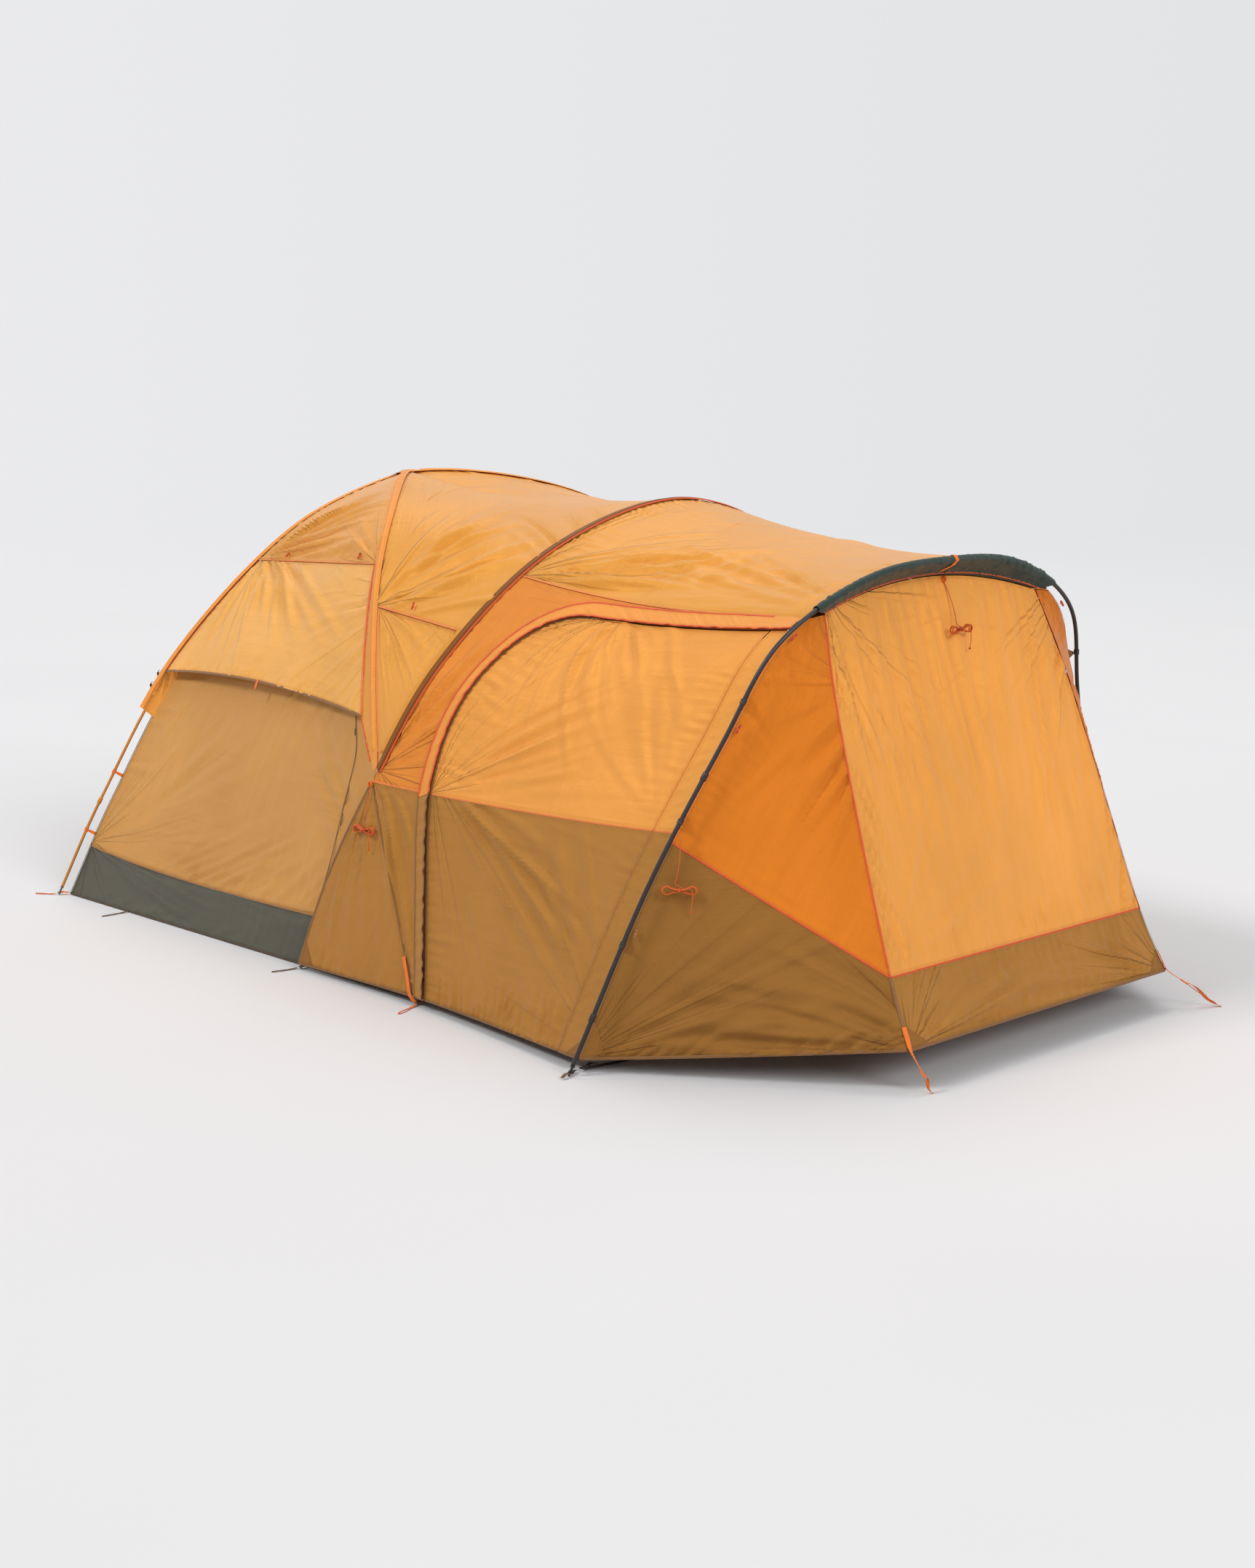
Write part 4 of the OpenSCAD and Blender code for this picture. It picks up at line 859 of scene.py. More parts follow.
def tube(name, path, r, mat, sides=16):
    """A round tube along points in millimetres."""
    path = np.asarray(path, float)
    t = unit(np.gradient(path, axis=0))
    side = unit(np.cross(t[0], (0.3, 0.5, 0.8)))
    r = np.broadcast_to(np.asarray(r, float), len(path))
    a = np.arange(sides) * 2 * math.pi / sides
    rings = []
    for p, d, rad in zip(path, t, r):
        side = unit(side - d * np.dot(side, d))
        up = np.cross(d, side)
        rings.append(p + rad * (np.cos(a)[:, None] * side + np.sin(a)[:, None] * up))
    uv = ring_uv(np.arange(sides) / sides * 2 * math.pi * float(r.max()) * MM, running(path) * MM)
    return new_piece(name, np.vstack(rings), ring_faces(len(path), sides, turned=True), mat, uv)


SIDES = (("near", 1), ("far", -1))


def resampled(c, step=12, cut=0.0):
    """Points a steady distance apart along a curve, less a cut at each end."""
    c = np.asarray(c, float)
    run = running(c)
    n = max(3, int(round((run[-1] - 2 * cut) / step)) + 1)
    d = np.linspace(cut, run[-1] - cut, n)
    return np.stack([np.interp(d, run, c[:, k]) for k in range(3)], -1)


def steps(c, a, b, step=14):
    """Shares from a to b of a curve, about a step apart."""
    return np.linspace(a, b, max(2, int(round(running(stretch(c, a, b, 60))[-1] / step))) + 1)


def between(a, b, m0=SEAM, m1=SEAM, belly=(0, 0, 0), step=14):
    """A grid from the points a to the points b; its first way runs from a to b."""
    n = shares(np.linalg.norm(b - a, axis=1).mean(), step)
    m0, m1 = np.reshape(m0, (-1, 1)), np.reshape(m1, (-1, 1))
    belly = np.broadcast_to(np.asarray(belly, float), a.shape)
    return span(a[None], b[None], n[:, None], m0, m1, belly[None])


def facing_tape(name, curve, middle, w, mat, body="tent", side=1, lift=1.0, thick=1.2):
    """A tape whose face looks away from a point inside the tent."""
    curve = np.asarray(curve, float)
    return tape(name, curve, unit(curve - np.asarray(middle, float)), w, mat, body, lift, thick, side)


def seams(tag, side, middle, rows):
    """Sewn tapes of one side, from rows of name, curve, width, material, lift and thickness."""
    for label, curve, w, mat, *height in rows:
        facing_tape(f"{label}_{tag}", curve, middle, w, mat, "tent", side, *height)


def mirrored(half):
    """A grid and its mirror image beyond its last column."""
    return np.concatenate([half, far(half)[:, -2::-1]], axis=1)


# ---- guylines: a short hanging run, a hank of even turns held by a tie, a tail with its knot ----
CORD_D, LOOP_R, RUN_LEN, HANK_H, TURNS, PITCH = 3.0, 9.0, 150.0, 30.0, 5, 3.7
UP = vec(0, 0, 1)
GUYLINES = (("crossing", cross_point + (4, -40, -4), 0, vec(0, -36, 0)),
            ("porch", at_z(crease_line, CROSS_H + 25) + (47, -26, 0), 42, vec(10, -14, 0)),
            ("front", lerp(front_edge[-1], far(front_edge[-1]), 0.56) + FRONT_RISE + (16, 0, -12),
             90, vec(84, 0, 0)))


def knot_line(c, r, wave, tall, n):
    """A small closed knot about the point c."""
    a = np.linspace(0, 2 * math.pi, n)
    reach = r + wave * np.cos(3 * a)
    return np.stack([c[0] + reach * np.cos(2 * a), c[1] + reach * np.sin(2 * a),
                     c[2] + tall * np.sin(3 * a)], -1)


def guyline_route(start, middle, away, ax, ad, seed):
    """Points of one guyline; ax runs along its hank, and ad through it."""
    rng = np.random.RandomState(seed)
    pts = []
    # the run: slack, ending left of the middle, over the hank
    for q in np.linspace(0, 1, 9):
        sway = math.sin(q * math.pi) * 3.0
        pts.append(start - (0, 0, (RUN_LEN - 6) * q) + away * q
                   + ax * (-15 * q ** 2 + sway * 0.4) + ad * (-PITCH * TURNS / 2 * q ** 2 + sway * 0.3))
    half = [(0, 2.6), (14, 3.6), (28, 8.6), (40, 13.4), (51, 12.2), (58.5, 5.0)]
    half += [(x, -y) for x, y in half[::-1]]
    loop = half + [(-x, y) for x, y in half[-2:0:-1]]
    for k in range(TURNS):
        grow = 1 + rng.uniform(-0.07, 0.03)
        drop = rng.uniform(-1.2, 1.2)
        for i, (x, y) in enumerate(loop):
            if k == 0 and i == 0:
                continue
            bow = max(0.0, (abs(x) - 20) / 38)
            pts.append(middle + ax * x * (1 + (grow - 1) * bow) + vec(0, 0, y + drop * bow)
                       + ad * PITCH * (k + i / len(loop) - TURNS / 2))
    # over the right half once more, then down as the tail
    last = ad * PITCH * (TURNS / 2)
    for x, y in ((0, 2.6), (14, 3.4), (28, 8.0), (38, 8.0), (44, -4.0)):
        pts.append(middle + ax * x + vec(0, 0, y) + last)
    for q in np.linspace(0.12, 1, 6):
        pts.append(middle + ax * (46 - 6 * q) + vec(0, 0, -8 - 62 * q) + last + ad * 3 * math.sin(3 * q))
    return spline(pts, n=6)


def guyline(label, place, turn, away, seed):
    name = f"guyline_{label}_cord"
    start = place - (0, 0, LOOP_R + 1.6)
    c, s = math.cos(math.radians(turn)), math.sin(math.radians(turn))
    ax, ad = vec(c, s, 0), vec(s, -c, 0)
    middle = start - (0, 0, RUN_LEN + HANK_H / 2) + away
    route = guyline_route(start, middle, away, ax, ad, seed)
    cord = belong(tube(name, route, CORD_D / 2, "cord", 10), "tent", (f"guyline_{label}", f"hank_{label}"))
    # the tie round the waist, and the knot at the tail's end
    turns = np.linspace(0, 3 * 2 * math.pi, 90)
    wrap = (middle + np.outer(np.linspace(-4.4, 4.4, 90), ax) + np.outer(np.cos(turns) * 6.4, UP)
            + np.outer(np.sin(turns) * (PITCH * TURNS / 2 + 3.6), ad))
    tie = belong(tube(name + "_tie", wrap, 1.4, "cord", 8), "tent")
    knot = tube(name + "_knot", knot_line(route[-1] - (0, 0, 3), 2.6, 1.5, 2.0, 60), 1.5, "cord", 8)
    belong(knot, "tent")
    # the sewn loop of webbing that it hangs from
    rim = np.array([place + UP * LOOP_R * math.cos(t) * 1.15 + ax * LOOP_R * 0.62 * math.sin(t)
                    for t in np.linspace(0.05, 2 * math.pi - 0.05, 34)])
    return tape(name + "_loop", rim, unit(rim - place), 12, "webbing", "tent", 0, 1.3)


guy_loops = [guyline(*row, 5 + k) for k, row in enumerate(GUYLINES)]

# ---- poles ----
FERRULE_Z, PORCH_FERRULES = 432, (205, 1030)
dome_a = np.vstack([rear_half(POLE_GAP), far(front_half(POLE_GAP, POLE_GAP))[-2::-1]])
dome_b = far(np.vstack([rear_half(-POLE_GAP), far(front_half(-POLE_GAP, POLE_GAP))[-2::-1]]))
for name, c, d, mat, node in (("pole_a_tube", dome_a, DOME_POLE_D, "gold", "dome_pole_a"),
                              ("pole_b_tube", dome_b, DOME_POLE_D, "gold", "dome_pole_b"),
                              ("hoop_tube", arch(hoop_half(POLE_GAP)), DOME_POLE_D, "gold", "hoop_pole"),
                              ("porch_tube", arch(porch_half), PORCH_POLE_D, "black", "porch_pole")):
    belong(tube(name, resampled(c, 14, 36), d / 2, mat, 20), "tent", (node,))


def heading(c, z):
    """A curve's point at a height, and its direction there."""
    s = share_z(c, z)
    return at(c, s), unit(at(c, s + 0.02) - at(c, s - 0.02))


def collar(c, z, d, mat, length=30.0, wall=2.8):
    p, t = heading(c, z)
    x = np.array([-0.5, -0.47, -0.38, 0.38, 0.47, 0.5]) * length
    r = d / 2 + np.array([0.3, 0.75 * wall, wall, wall, 0.75 * wall, 0.3])
    return tube("collar", p + x[:, None] * t, r, mat, 24)


parts = [collar(c, FERRULE_Z, DOME_POLE_D, "gold") for c in (rear_half(POLE_GAP), far(rear_half(POLE_GAP)))]
parts += [collar(c, z, PORCH_POLE_D, "black") for c in (porch_half, far(porch_half)) for z in PORCH_FERRULES]
merge("pole_collars", parts, "tent", ("pole_ferrules",))

# ---- cabin ----
TUB_SAG, CABIN_MIDDLE = 34, (0, 0, 500)
WALL_TOP = SEAM_H - UNDER


def tub_sag(s):
    """How far the tray's upper seam hangs down along a side wall, deepest behind the middle."""
    return TUB_SAG * np.sin(math.pi * s ** 0.72)


def wall_grid(kind, z0, z1, step=16, sag0=0.0, sag1=0.0):
    z = np.linspace(z0, z1, max(3, int(round((z1 - z0) / step)) + 1))
    rear, front = wall_rear(z), wall_front(z)
    a, b = {"side": (rear, front), "rear": (far(rear), rear), "front": (front, far(front))}[kind]
    g = between(a, b, step=step)
    w = np.linspace(0, 1, g.shape[1])[None, :]
    s = np.linspace(0, 1, g.shape[0])[:, None]
    g[..., 2] -= tub_sag(s) * lerp(sag0, sag1, w)
    return g


corners = [vec(*p[:2], 3) for p in (wall_rear(3), wall_front(3))]
s, t = np.meshgrid(np.linspace(0, 1, 70), np.linspace(0, 1, 66), indexing="ij")
near_line, far_line = (lerp(a, b, s[..., None]) for a, b in (corners, [far(c) for c in corners]))
wr = Wrinkles(90).fan((0, 0), ((1, 0.2), (0.5, 1)), 7, 30, 2).fan((1, 1), ((0, 0.6), (0.4, 0)), 7, 30, 2)
cloth("groundsheet", lerp(near_line, far_line, t[..., None]), "grey", "tent", ("tub_floor",), wr, 0.6, 3)


def tray(kind, label, side, soft, seed):
    wr = Wrinkles(seed)
    wr.comb((0.02, 0), (0.98, 0), (0.25, 0.5), 26, 16, 1.8, (0.1, 0.4))
    wr.comb((0.02, 1), (0.98, 1), (0.25, -0.7), 26, 14, 1.8, (0.1, 0.45))
    wr.fan((0, 1), ((0.35, 0), (0.9, 0.5)), 5, 16, 4)
    wr.fan((1, 1), ((0.7, 0), (0.3, 0.5)), 5, 16, 3.5)
    cloth(f"tray_{label}", wall_grid(kind, 3, TUB_H, 12, 0, soft), "grey", "tent", (), wr, 2, seed, 0.012,
          side=side)


def wall(kind, label, nodes, side, soft, seed):
    wr = Wrinkles(seed + 40)
    wr.fan((0, 0.02), ((0.25, 1), (0.95, 0.75)), 5, 34, 3, bow=0.05)
    wr.fan((1, 0.05), ((0.8, 1), (0.3, 0.8)), 5, 30, 3, bow=0.05)
    wr.comb((0.22, 0), (0.5, 0), (0.75, 0.85), 8, 13, 5, (0.10, 0.34))
    wr.comb((0.46, 0.94), (0.66, 0.92), (-0.25, -0.8), 9, 10, 3.6, (0.10, 0.26))
    wr.comb((0.25, 0), (0.85, 0), (0.35, 0.9), 12, 22, 3.5, (0.08, 0.32))
    wr.comb((0, 0.2), (0, 0.95), (0.9, 0.25), 8, 18, 3, (0.04, 0.14))
    cloth(f"wall_{label}_cloth", wall_grid(kind, TUB_H + 1, WINDOW_H - 4, 14, soft, 0), "tan_wall", "tent",
          nodes, wr, 5, seed, 0.02, side=side)
    cloth(f"window_{label}", wall_grid(kind, WINDOW_H, WALL_TOP, 20), "net", "tent", ("mesh_windows",),
          None, 3, seed + 60, side=side)


for k, (kind, tags) in enumerate((("side", SIDES), ("rear", SIDES[:1]), ("front", SIDES[:1]))):
    for tag, side in tags:
        label, soft = (f"side_{tag}", 1.0) if kind == "side" else (kind, 0.4)
        seed = 11 + 3 * k + (side < 0)
        tray(kind, label, side, soft, seed)
        rows = [("tray_seam", TUB_H, (TUB_H, TUB_H + 20, 12, soft, soft), 9, "seam_tan", 1.2),
                ("tray_foot", 6, (6, 40, 12), 8, "binding_dark", 1.0)]
        if kind != "front":
            wall(kind, label, (f"side_wall_{tag}" if kind == "side" else "rear_wall",), side, soft, seed)
            rows.insert(0, ("window_sill", WINDOW_H, (WINDOW_H - 4, WINDOW_H, 12), 14, "binding_tan", 1.0))
        for name, z, where, w, mat, lift in rows:
            line = wall_grid(kind, *where)[:, 0]
            facing_tape(f"{name}_{label}", line, (0, 0, z), w, mat, side=side, lift=lift)

for tag, side in SIDES:
    z = np.linspace(6, WALL_TOP, 110)
    seams(tag, side, CABIN_MIDDLE, [("wall_corner_rear", wall_rear(z), 12, "binding_tan"),
                                    ("wall_corner_front", wall_front(z), 12, "binding_tan")])

# ---- front wall with its doorway ----
DOOR_HALF, SILL, LINTEL, FRONT_TOP = 480, TUB_H + 30, 1330, 1640
DOOR_FACE = (0.9, 0, 0.43)


def front_rows(z0, z1, y0, y1, step=20):
    """Rows of the front wall from y0 to y1, or from and to its corners where these are None."""
    z = np.linspace(z0, z1, max(3, int((z1 - z0) / step) + 1))
    f = wall_front(z)
    a = np.stack([f[:, 0], f[:, 1] + SEAM if y0 is None else np.full_like(z, y0), z], -1)
    b = np.stack([f[:, 0], -f[:, 1] - SEAM if y1 is None else np.full_like(z, y1), z], -1)
    return between(a, b, 0, 0, step=step)


for k, (z0, z1, y0, y1) in enumerate(((TUB_H + 2, FRONT_TOP, None, -DOOR_HALF),
                                      (TUB_H + 2, FRONT_TOP, DOOR_HALF, None),
                                      (TUB_H + 2, SILL, -DOOR_HALF, DOOR_HALF),
                                      (LINTEL, FRONT_TOP, -DOOR_HALF, DOOR_HALF))):
    wr = Wrinkles(70 + k).fan((0, 0), ((0.3, 1), (1, 0.7)), 4, 26, 3)
    wr.fan((1, 1), ((0, 0.4), (0.5, 0)), 4, 26, 3)
    cloth(f"front_wall_{k}", front_rows(z0, z1, y0, y1), "inner", "tent", ("front_wall",), wr, 2.5, 70 + k)
leaf = front_rows(SILL + 5, LINTEL - 5, -DOOR_HALF + 5, DOOR_HALF - 5)


def follow(pieces, a, b, inwards, side=1):
    """Bakes each piece's placing into its mesh; a and b, the hinge's ends in millimetres, and inwards are not
    used.
    """
    a, b, inwards = (np.asarray(x, float) * (1, side, 1) for x in (a * MM, b * MM, inwards))
    for piece in pieces:
        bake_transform(piece)


ring = np.vstack([leaf[:, 0], leaf[-1, 1:], leaf[-2::-1, -1], leaf[0, -2:0:-1], leaf[:1, 0]])
follow((cloth("cabin_door_net", leaf, "net", None, ("cabin_door",), None, 2, 77),
        tape("cabin_door_edge", ring, DOOR_FACE, 16, "binding_tan", None, -0.6, 1.4)),
       leaf[0, 0], leaf[0, -1], (0, 1, 0))
frame_line = np.array([[wall_front(z)[0], y * DOOR_HALF, z] for y, z in
                       ((-1, SILL), (1, SILL), (1, LINTEL), (-1, LINTEL), (-1, SILL))])
tape("cabin_doorway_zip", resampled(frame_line, 20), DOOR_FACE, 10, "binding_dark", "tent", 0.6, 1.4)

# ---- dome roof ----
TOP_SHARE, SEAM_FRONT = 0.985, SEAM_H + SEAM_RISE
AWNING_SIDE, GUSSET_W, HEM_ARCH = 34, 88, 52
rear_seam, front_seam = float(share_z(rear_line, SEAM_H)), float(share_z(front_line, SEAM_FRONT))
top_rows = np.linspace(0, 1, 78)
roof_full = (6.75 * top_rows * (1 - top_rows) ** 2)[:, None]     # straight at the seam, full above it
rear_up = at(rear_line, lerp(rear_seam, TOP_SHARE, top_rows))
front_up = at(front_line, lerp(front_seam, TOP_SHARE, top_rows))


def awning_seam(label, a, b, side=1):
    line = span(a[None], b[None], np.linspace(0, 1, 60), 30, 30)
    facing_tape(f"awning_seam_{label}", resampled(line), CABIN_MIDDLE, 7, "seam_orange", side=side, lift=2.0,
                thick=1.6)


for tag, side in SIDES:
    wr = Wrinkles(101 + side)
    wr.fan((0, 0), ((0.55, 0.62), (0.98, 0.12)), 9, 17, 6, start=(0, 0.1))
    wr.fan((1, 0), ((0.72, 0.35), (0.3, 0.12)), 5, 17, 4)
    wr.comb((0.05, 0), (0.95, 0), (0.25, 0.5), 26, 9, 2.6, (0.05, 0.25))
    wr.comb((0, 0.05), (0, 0.8), (0.6, 0.1), 14, 9, 2.2, (0.04, 0.12))
    cloth(f"roof_{tag}_cloth", between(rear_up, front_up, belly=vec(0, -12, 6) * roof_full), "orange", "tent",
          (f"roof_{tag}",), wr, 3, 101, side=side)
    awning_seam(tag, at(rear_line, rear_seam), at(front_line, front_seam), side)
    # the roof's edge beside the awning, down to the crossing
    z = np.concatenate([np.linspace(CROSS_H + 70, HEM_H, 18), np.linspace(HEM_H, SEAM_FRONT - 4, 42)[1:]])
    b = at_z(front_line, z)
    d = unit(at_z(rear_line, np.minimum(z, SEAM_H)) - b)
    w = np.where(z < HEM_H, lerp(12, GUSSET_W, (z - CROSS_H) / (HEM_H - CROSS_H)),
                 lerp(GUSSET_W, AWNING_SIDE - 8, (z - HEM_H) / (SEAM_FRONT - HEM_H)))
    cols = np.linspace(0, 1, 9)[:, None, None]
    strip = (b + d * w[:, None])[None] * (1 - cols) + (b + d * SEAM)[None] * cols
    wr = Wrinkles(111).comb((0.1, 0), (0.1, 1), (0.8, 0.05), 22, 7, 1.6, (0.3, 0.9))
    cloth(f"roof_edge_{tag}", strip, "orange", "tent", (), wr, 0.8, 112, side=side, loose=("u0",))
    facing_tape(f"roof_edge_hem_{tag}", strip[0], CABIN_MIDDLE, 7, "seam_red", side=side, lift=0.8)

wr = Wrinkles(103).fan((0, 0), ((0.4, 0.6), (0.95, 0.2)), 7, 16, 4.5)
wr.fan((1, 0), ((0.6, 0.6), (0.05, 0.2)), 7, 16, 4.5)
wr.comb((0.05, 0), (0.95, 0), (0.1, 0.5), 22, 9, 2.4, (0.05, 0.25))
cloth("roof_rear_cloth", between(far(rear_up), rear_up, belly=vec(-15, 0, 6) * roof_full), "orange", "tent",
      ("roof_rear",), wr, 3, 105)
awning_seam("rear", at(far(rear_line), rear_seam), at(rear_line, rear_seam))


def awning_grid(ca, cb, za, zb, end_side):
    w = np.linspace(0, 1, 40)
    a, b = at_z(ca, lerp(HEM_H, za, w)), at_z(cb, lerp(HEM_H, zb, w))
    d = np.linalg.norm(b - a, axis=1)
    s = shares(d.mean())[:, None, None]
    d = d[None, :, None]
    s = lerp(AWNING_SIDE / d, 1 - lerp(end_side, AWNING_SIDE, w)[None, :, None] / d, s)
    g = lerp(a[None], b[None], s)
    g[..., 2] += 4 * s[..., 0] * (1 - s[..., 0]) * HEM_ARCH * (1 - w)[None, :]
    g[:, -1] -= unit(g[:, -1] - g[:, -2]) * SEAM
    return g


def awning(label, g, side, seed):
    wr = Wrinkles(seed)
    wr.fan((0, 1), ((0.12, 0.05), (0.85, 0.35)), 9, 15, 6, start=(0, 0.08))
    wr.fan((1, 1), ((0.88, 0.05), (0.35, 0.3)), 6, 15, 4.5)
    wr.comb((0.04, 1), (0.96, 1), (0.05, -0.5), 30, 8, 2.6, (0.06, 0.3))
    wr.comb((0.05, 0), (0.95, 0), (0.03, 0.6), 26, 12, 2.8, (0.05, 0.2))
    wr.comb((0, 0.1), (0, 0.95), (0.5, 0.12), 12, 8, 2.5, (0.06, 0.2))
    body = f"awning_{label}"
    pieces = [cloth(f"awning_{label}_cloth", g, "orange_awning", None, (body,), wr, 6, seed, side=side,
                    loose=("v0",))]
    for name, line, w, mat, thick in (("hem", g[:, 0], 11, "binding_tan", 1.6),
                                      ("edge", g[0, ::-1], 9, "seam_red", 1.4),
                                      ("side", g[-1], 9, "seam_orange", 1.4)):
        pieces.append(facing_tape(f"awning_{name}_{label}", line, CABIN_MIDDLE, w, mat, None, side, 0.4,
                                  thick))
    # a short tab sewn under the hem's middle
    k = len(g) // 2
    drop = g[k, 0] + unit(g[k, 0] - g[k, 1]) * np.linspace(-8, 36, 10)[:, None]
    out = unit(g[k, 0] - CABIN_MIDDLE)
    pieces.append(tape(f"awning_tab_{label}", drop, out, 13, "webbing", None, 3, 2.4, side))
    follow(pieces, g[0, -1], g[-1, -1], g[k, 0] - g[k, -1], side)


for tag, side in SIDES:
    awning(tag, awning_grid(rear_line, front_line, SEAM_H, SEAM_FRONT, GUSSET_W + 4), side, 120 + side)
awning("rear", awning_grid(far(rear_line), rear_line, SEAM_H, SEAM_H, AWNING_SIDE), 1, 124)

# ---- three-sided vents, their fixed margins and the corner below them ----
VENT_FRONT_H, VENT_HOOP_H, VENT_FOOT, VENT_SIDE = 1440, 1385, 115, 34
w = np.linspace(0, 1, 40)
a = at_z(front_line, lerp(CROSS_H + VENT_FOOT, VENT_FRONT_H, w))
b = at_z(hoop_line, lerp(CROSS_H + VENT_FOOT, VENT_HOOP_H, w))
wide_v = np.linalg.norm(b - a, axis=1)
margin = np.minimum(VENT_SIDE, 0.3 * wide_v) / wide_v
vent = lerp(a[None], b[None], lerp(margin[None, :, None], 1 - margin[None, :, None],
                                   np.linspace(0, 1, 30)[:, None, None]))
vent[:, -1] -= unit(vent[:, -1] - vent[:, -2]) * SEAM
corner_z = lerp(CROSS_H + 18, CROSS_H + VENT_FOOT + 14, np.linspace(0, 1, 10))
vent_corner = between(at_z(front_line, corner_z), at_z(hoop_line, corner_z), 1, 1, step=6)
for tag, side in SIDES:
    wr = Wrinkles(131).fan((0, 1), ((0.2, 0.1), (0.9, 0.6)), 4, 13, 3.5)
    wr.fan((1, 1), ((0.5, 0.1), (0.1, 0.6)), 4, 13, 3)
    wr.comb((0.05, 1), (0.95, 1), (0, -0.5), 14, 8, 2, (0.05, 0.25))
    around = resampled(np.vstack([vent[0, ::-1], vent[-1]]))
    flap = cloth(f"vent_flap_{tag}_cloth", vent, "orange", None, (f"vent_flap_{tag}",), wr, 2, 131,
                 side=side)
    edge = facing_tape(f"vent_edge_{tag}", around, CABIN_MIDDLE, 8, "seam_orange", None, side, 0.5, 1.4)
    follow((flap, edge), vent[0, -1], vent[-1, -1], vent[15, 0] - vent[15, -1], side)
    half_m = (0.5 * margin)[:, None]
    seams(tag, side, CABIN_MIDDLE, [("vent_seam", vent[:, -1] + (0, 0, 4), 9, "seam_orange", 2.0, 1.6),
                                    ("vent_margin_front", lerp(a, b, half_m), 34, "orange", -3.0, 1.0),
                                    ("vent_margin_hoop", lerp(a, b, 1 - half_m), 34, "orange", -3.0, 1.0)])
    cloth(f"vent_corner_{tag}", vent_corner, "orange", "tent", (), None, 0.5, 133, side=side)

# ---- roof between the dome poles' front halves and the hoop ----
FRONT_SAG = 60
vent_share, hoop_share = float(share_z(front_line, VENT_FRONT_H)), float(share_z(hoop_line, VENT_HOOP_H))
w = np.linspace(0, 1, 90)
half = between(at(front_line, lerp(vent_share, 1, w)), at(hoop_line, lerp(hoop_share, 1, w)),
               belly=np.stack([0 * w, 0 * w, -FRONT_SAG * w], -1))
wr = Wrinkles(141)
for v0, k in ((0, 1), (1, -1)):
    wr.fan((0, v0), ((0.95, v0 + 0.12 * k), (0.55, v0 + 0.42 * k)), 8, 17, 6, start=(0, 0.1))
    wr.fan((1, v0), ((0.3, v0 + 0.2 * k), (0.7, v0 + 0.36 * k)), 6, 14, 5, start=(0, 0.1))
wr.comb((1, 0.08), (1, 0.92), (-0.5, 0), 34, 9, 2.6, (0.06, 0.3))
wr.comb((0, 0.1), (0, 0.9), (0.5, 0), 28, 9, 2.2, (0.05, 0.25))
cloth("roof_front_cloth", mirrored(half), "orange", "tent", ("roof_front",), wr, 4, 141)


# ---- sleeves over the poles ----
SLEEVE_TOP, SLEEVE_STEP, ROOF_Z = 0.986, 9, 1600


def beside(p, t, q):
    d = q - p
    return unit(d - t * (d * t).sum(-1, keepdims=True))


def paired(a, b, s, a0, b0, top):
    """The points of curve b that pair with shares s of curve a, above shares a0 and b0."""
    w = np.clip((s - a0) / (top - a0), 0, 1)
    return np.where((s < a0)[:, None], at_z(b, at(a, s)[:, 2]), at(b, lerp(b0, top, w)))


def sleeve(label, line, s, ahead, behind, mat, nodes, side, seed, bump=6.0, lift=4.0):
    """Cloth over a pole: a hump in the middle, edges along the cloth on both sides."""
    p = at(line, s)
    t = unit(np.gradient(p, axis=0))
    out = unit(p - DOME_MIDDLE)
    xs = np.array([-0.5, -0.43, -0.34, -0.25, -0.16, -0.08, 0, 0.08, 0.16, 0.25, 0.34, 0.43, 0.5]) * SLEEVE_W
    rng = np.random.RandomState(seed)
    knots = np.arange(0, len(p) + 4, 3)
    ripple = np.interp(np.arange(len(p)), knots, rng.uniform(-1, 1, len(knots)))
    hump = np.exp(-(xs / (0.19 * SLEEVE_W)) ** 2)
    flank = np.exp(-((np.abs(xs) - 0.33 * SLEEVE_W) / (0.09 * SLEEVE_W)) ** 2)
    h = lift + bump * hump[None, :] + 1.4 * ripple[:, None] * flank[None, :]
    arm = np.where((xs < 0)[None, :, None], beside(p, t, ahead)[:, None], beside(p, t, behind)[:, None])
    g = p[:, None] + arm * np.abs(xs)[None, :, None] + out[:, None] * h[..., None]
    return cloth(label, g, mat, "tent", nodes, None, 0, seed, side=side)


def both(half):
    """A half's rows and their mirrored copies, from foot to foot."""
    return np.vstack([half, far(half)[-2::-1]])


for tag, side in SIDES:
    s = steps(rear_line, float(share_z(rear_line, 856)), SLEEVE_TOP, SLEEVE_STEP)
    ahead = paired(rear_line, front_line, s, rear_seam, front_seam, TOP_SHARE)
    behind = far(at(rear_line, s))
    sleeve(f"sleeve_rear_{tag}", rear_line, s, ahead, behind, "orange_strip", ("dome_sleeves",), side, 151)
    s = steps(front_line, float(share_z(front_line, CROSS_H + 50)), SLEEVE_TOP, SLEEVE_STEP)
    ahead = paired(front_line, hoop_line, s, vent_share, hoop_share, 1)
    behind = paired(front_line, rear_line, s, front_seam, rear_seam, TOP_SHARE)
    sleeve(f"sleeve_front_{tag}", front_line, s, ahead, behind, "orange_strip", ("dome_sleeves",), side, 152)
side_share = float(share_z(hoop_line, ROOF_Z))
s = steps(hoop_line, float(share_z(hoop_line, CROSS_H + 50)), 1, SLEEVE_STEP)
ahead = both(np.where((s < side_share)[:, None], at_z(crease_line, at(hoop_line, s)[:, 2]),
                      at(band_arc, np.clip((s - side_share) / (1 - side_share) / 2, 0, 1))))
hoop_s = np.concatenate([s / 2, 1 - s[-2::-1] / 2])
behind = both(paired(hoop_line, front_line, s, hoop_share, vent_share, 1))
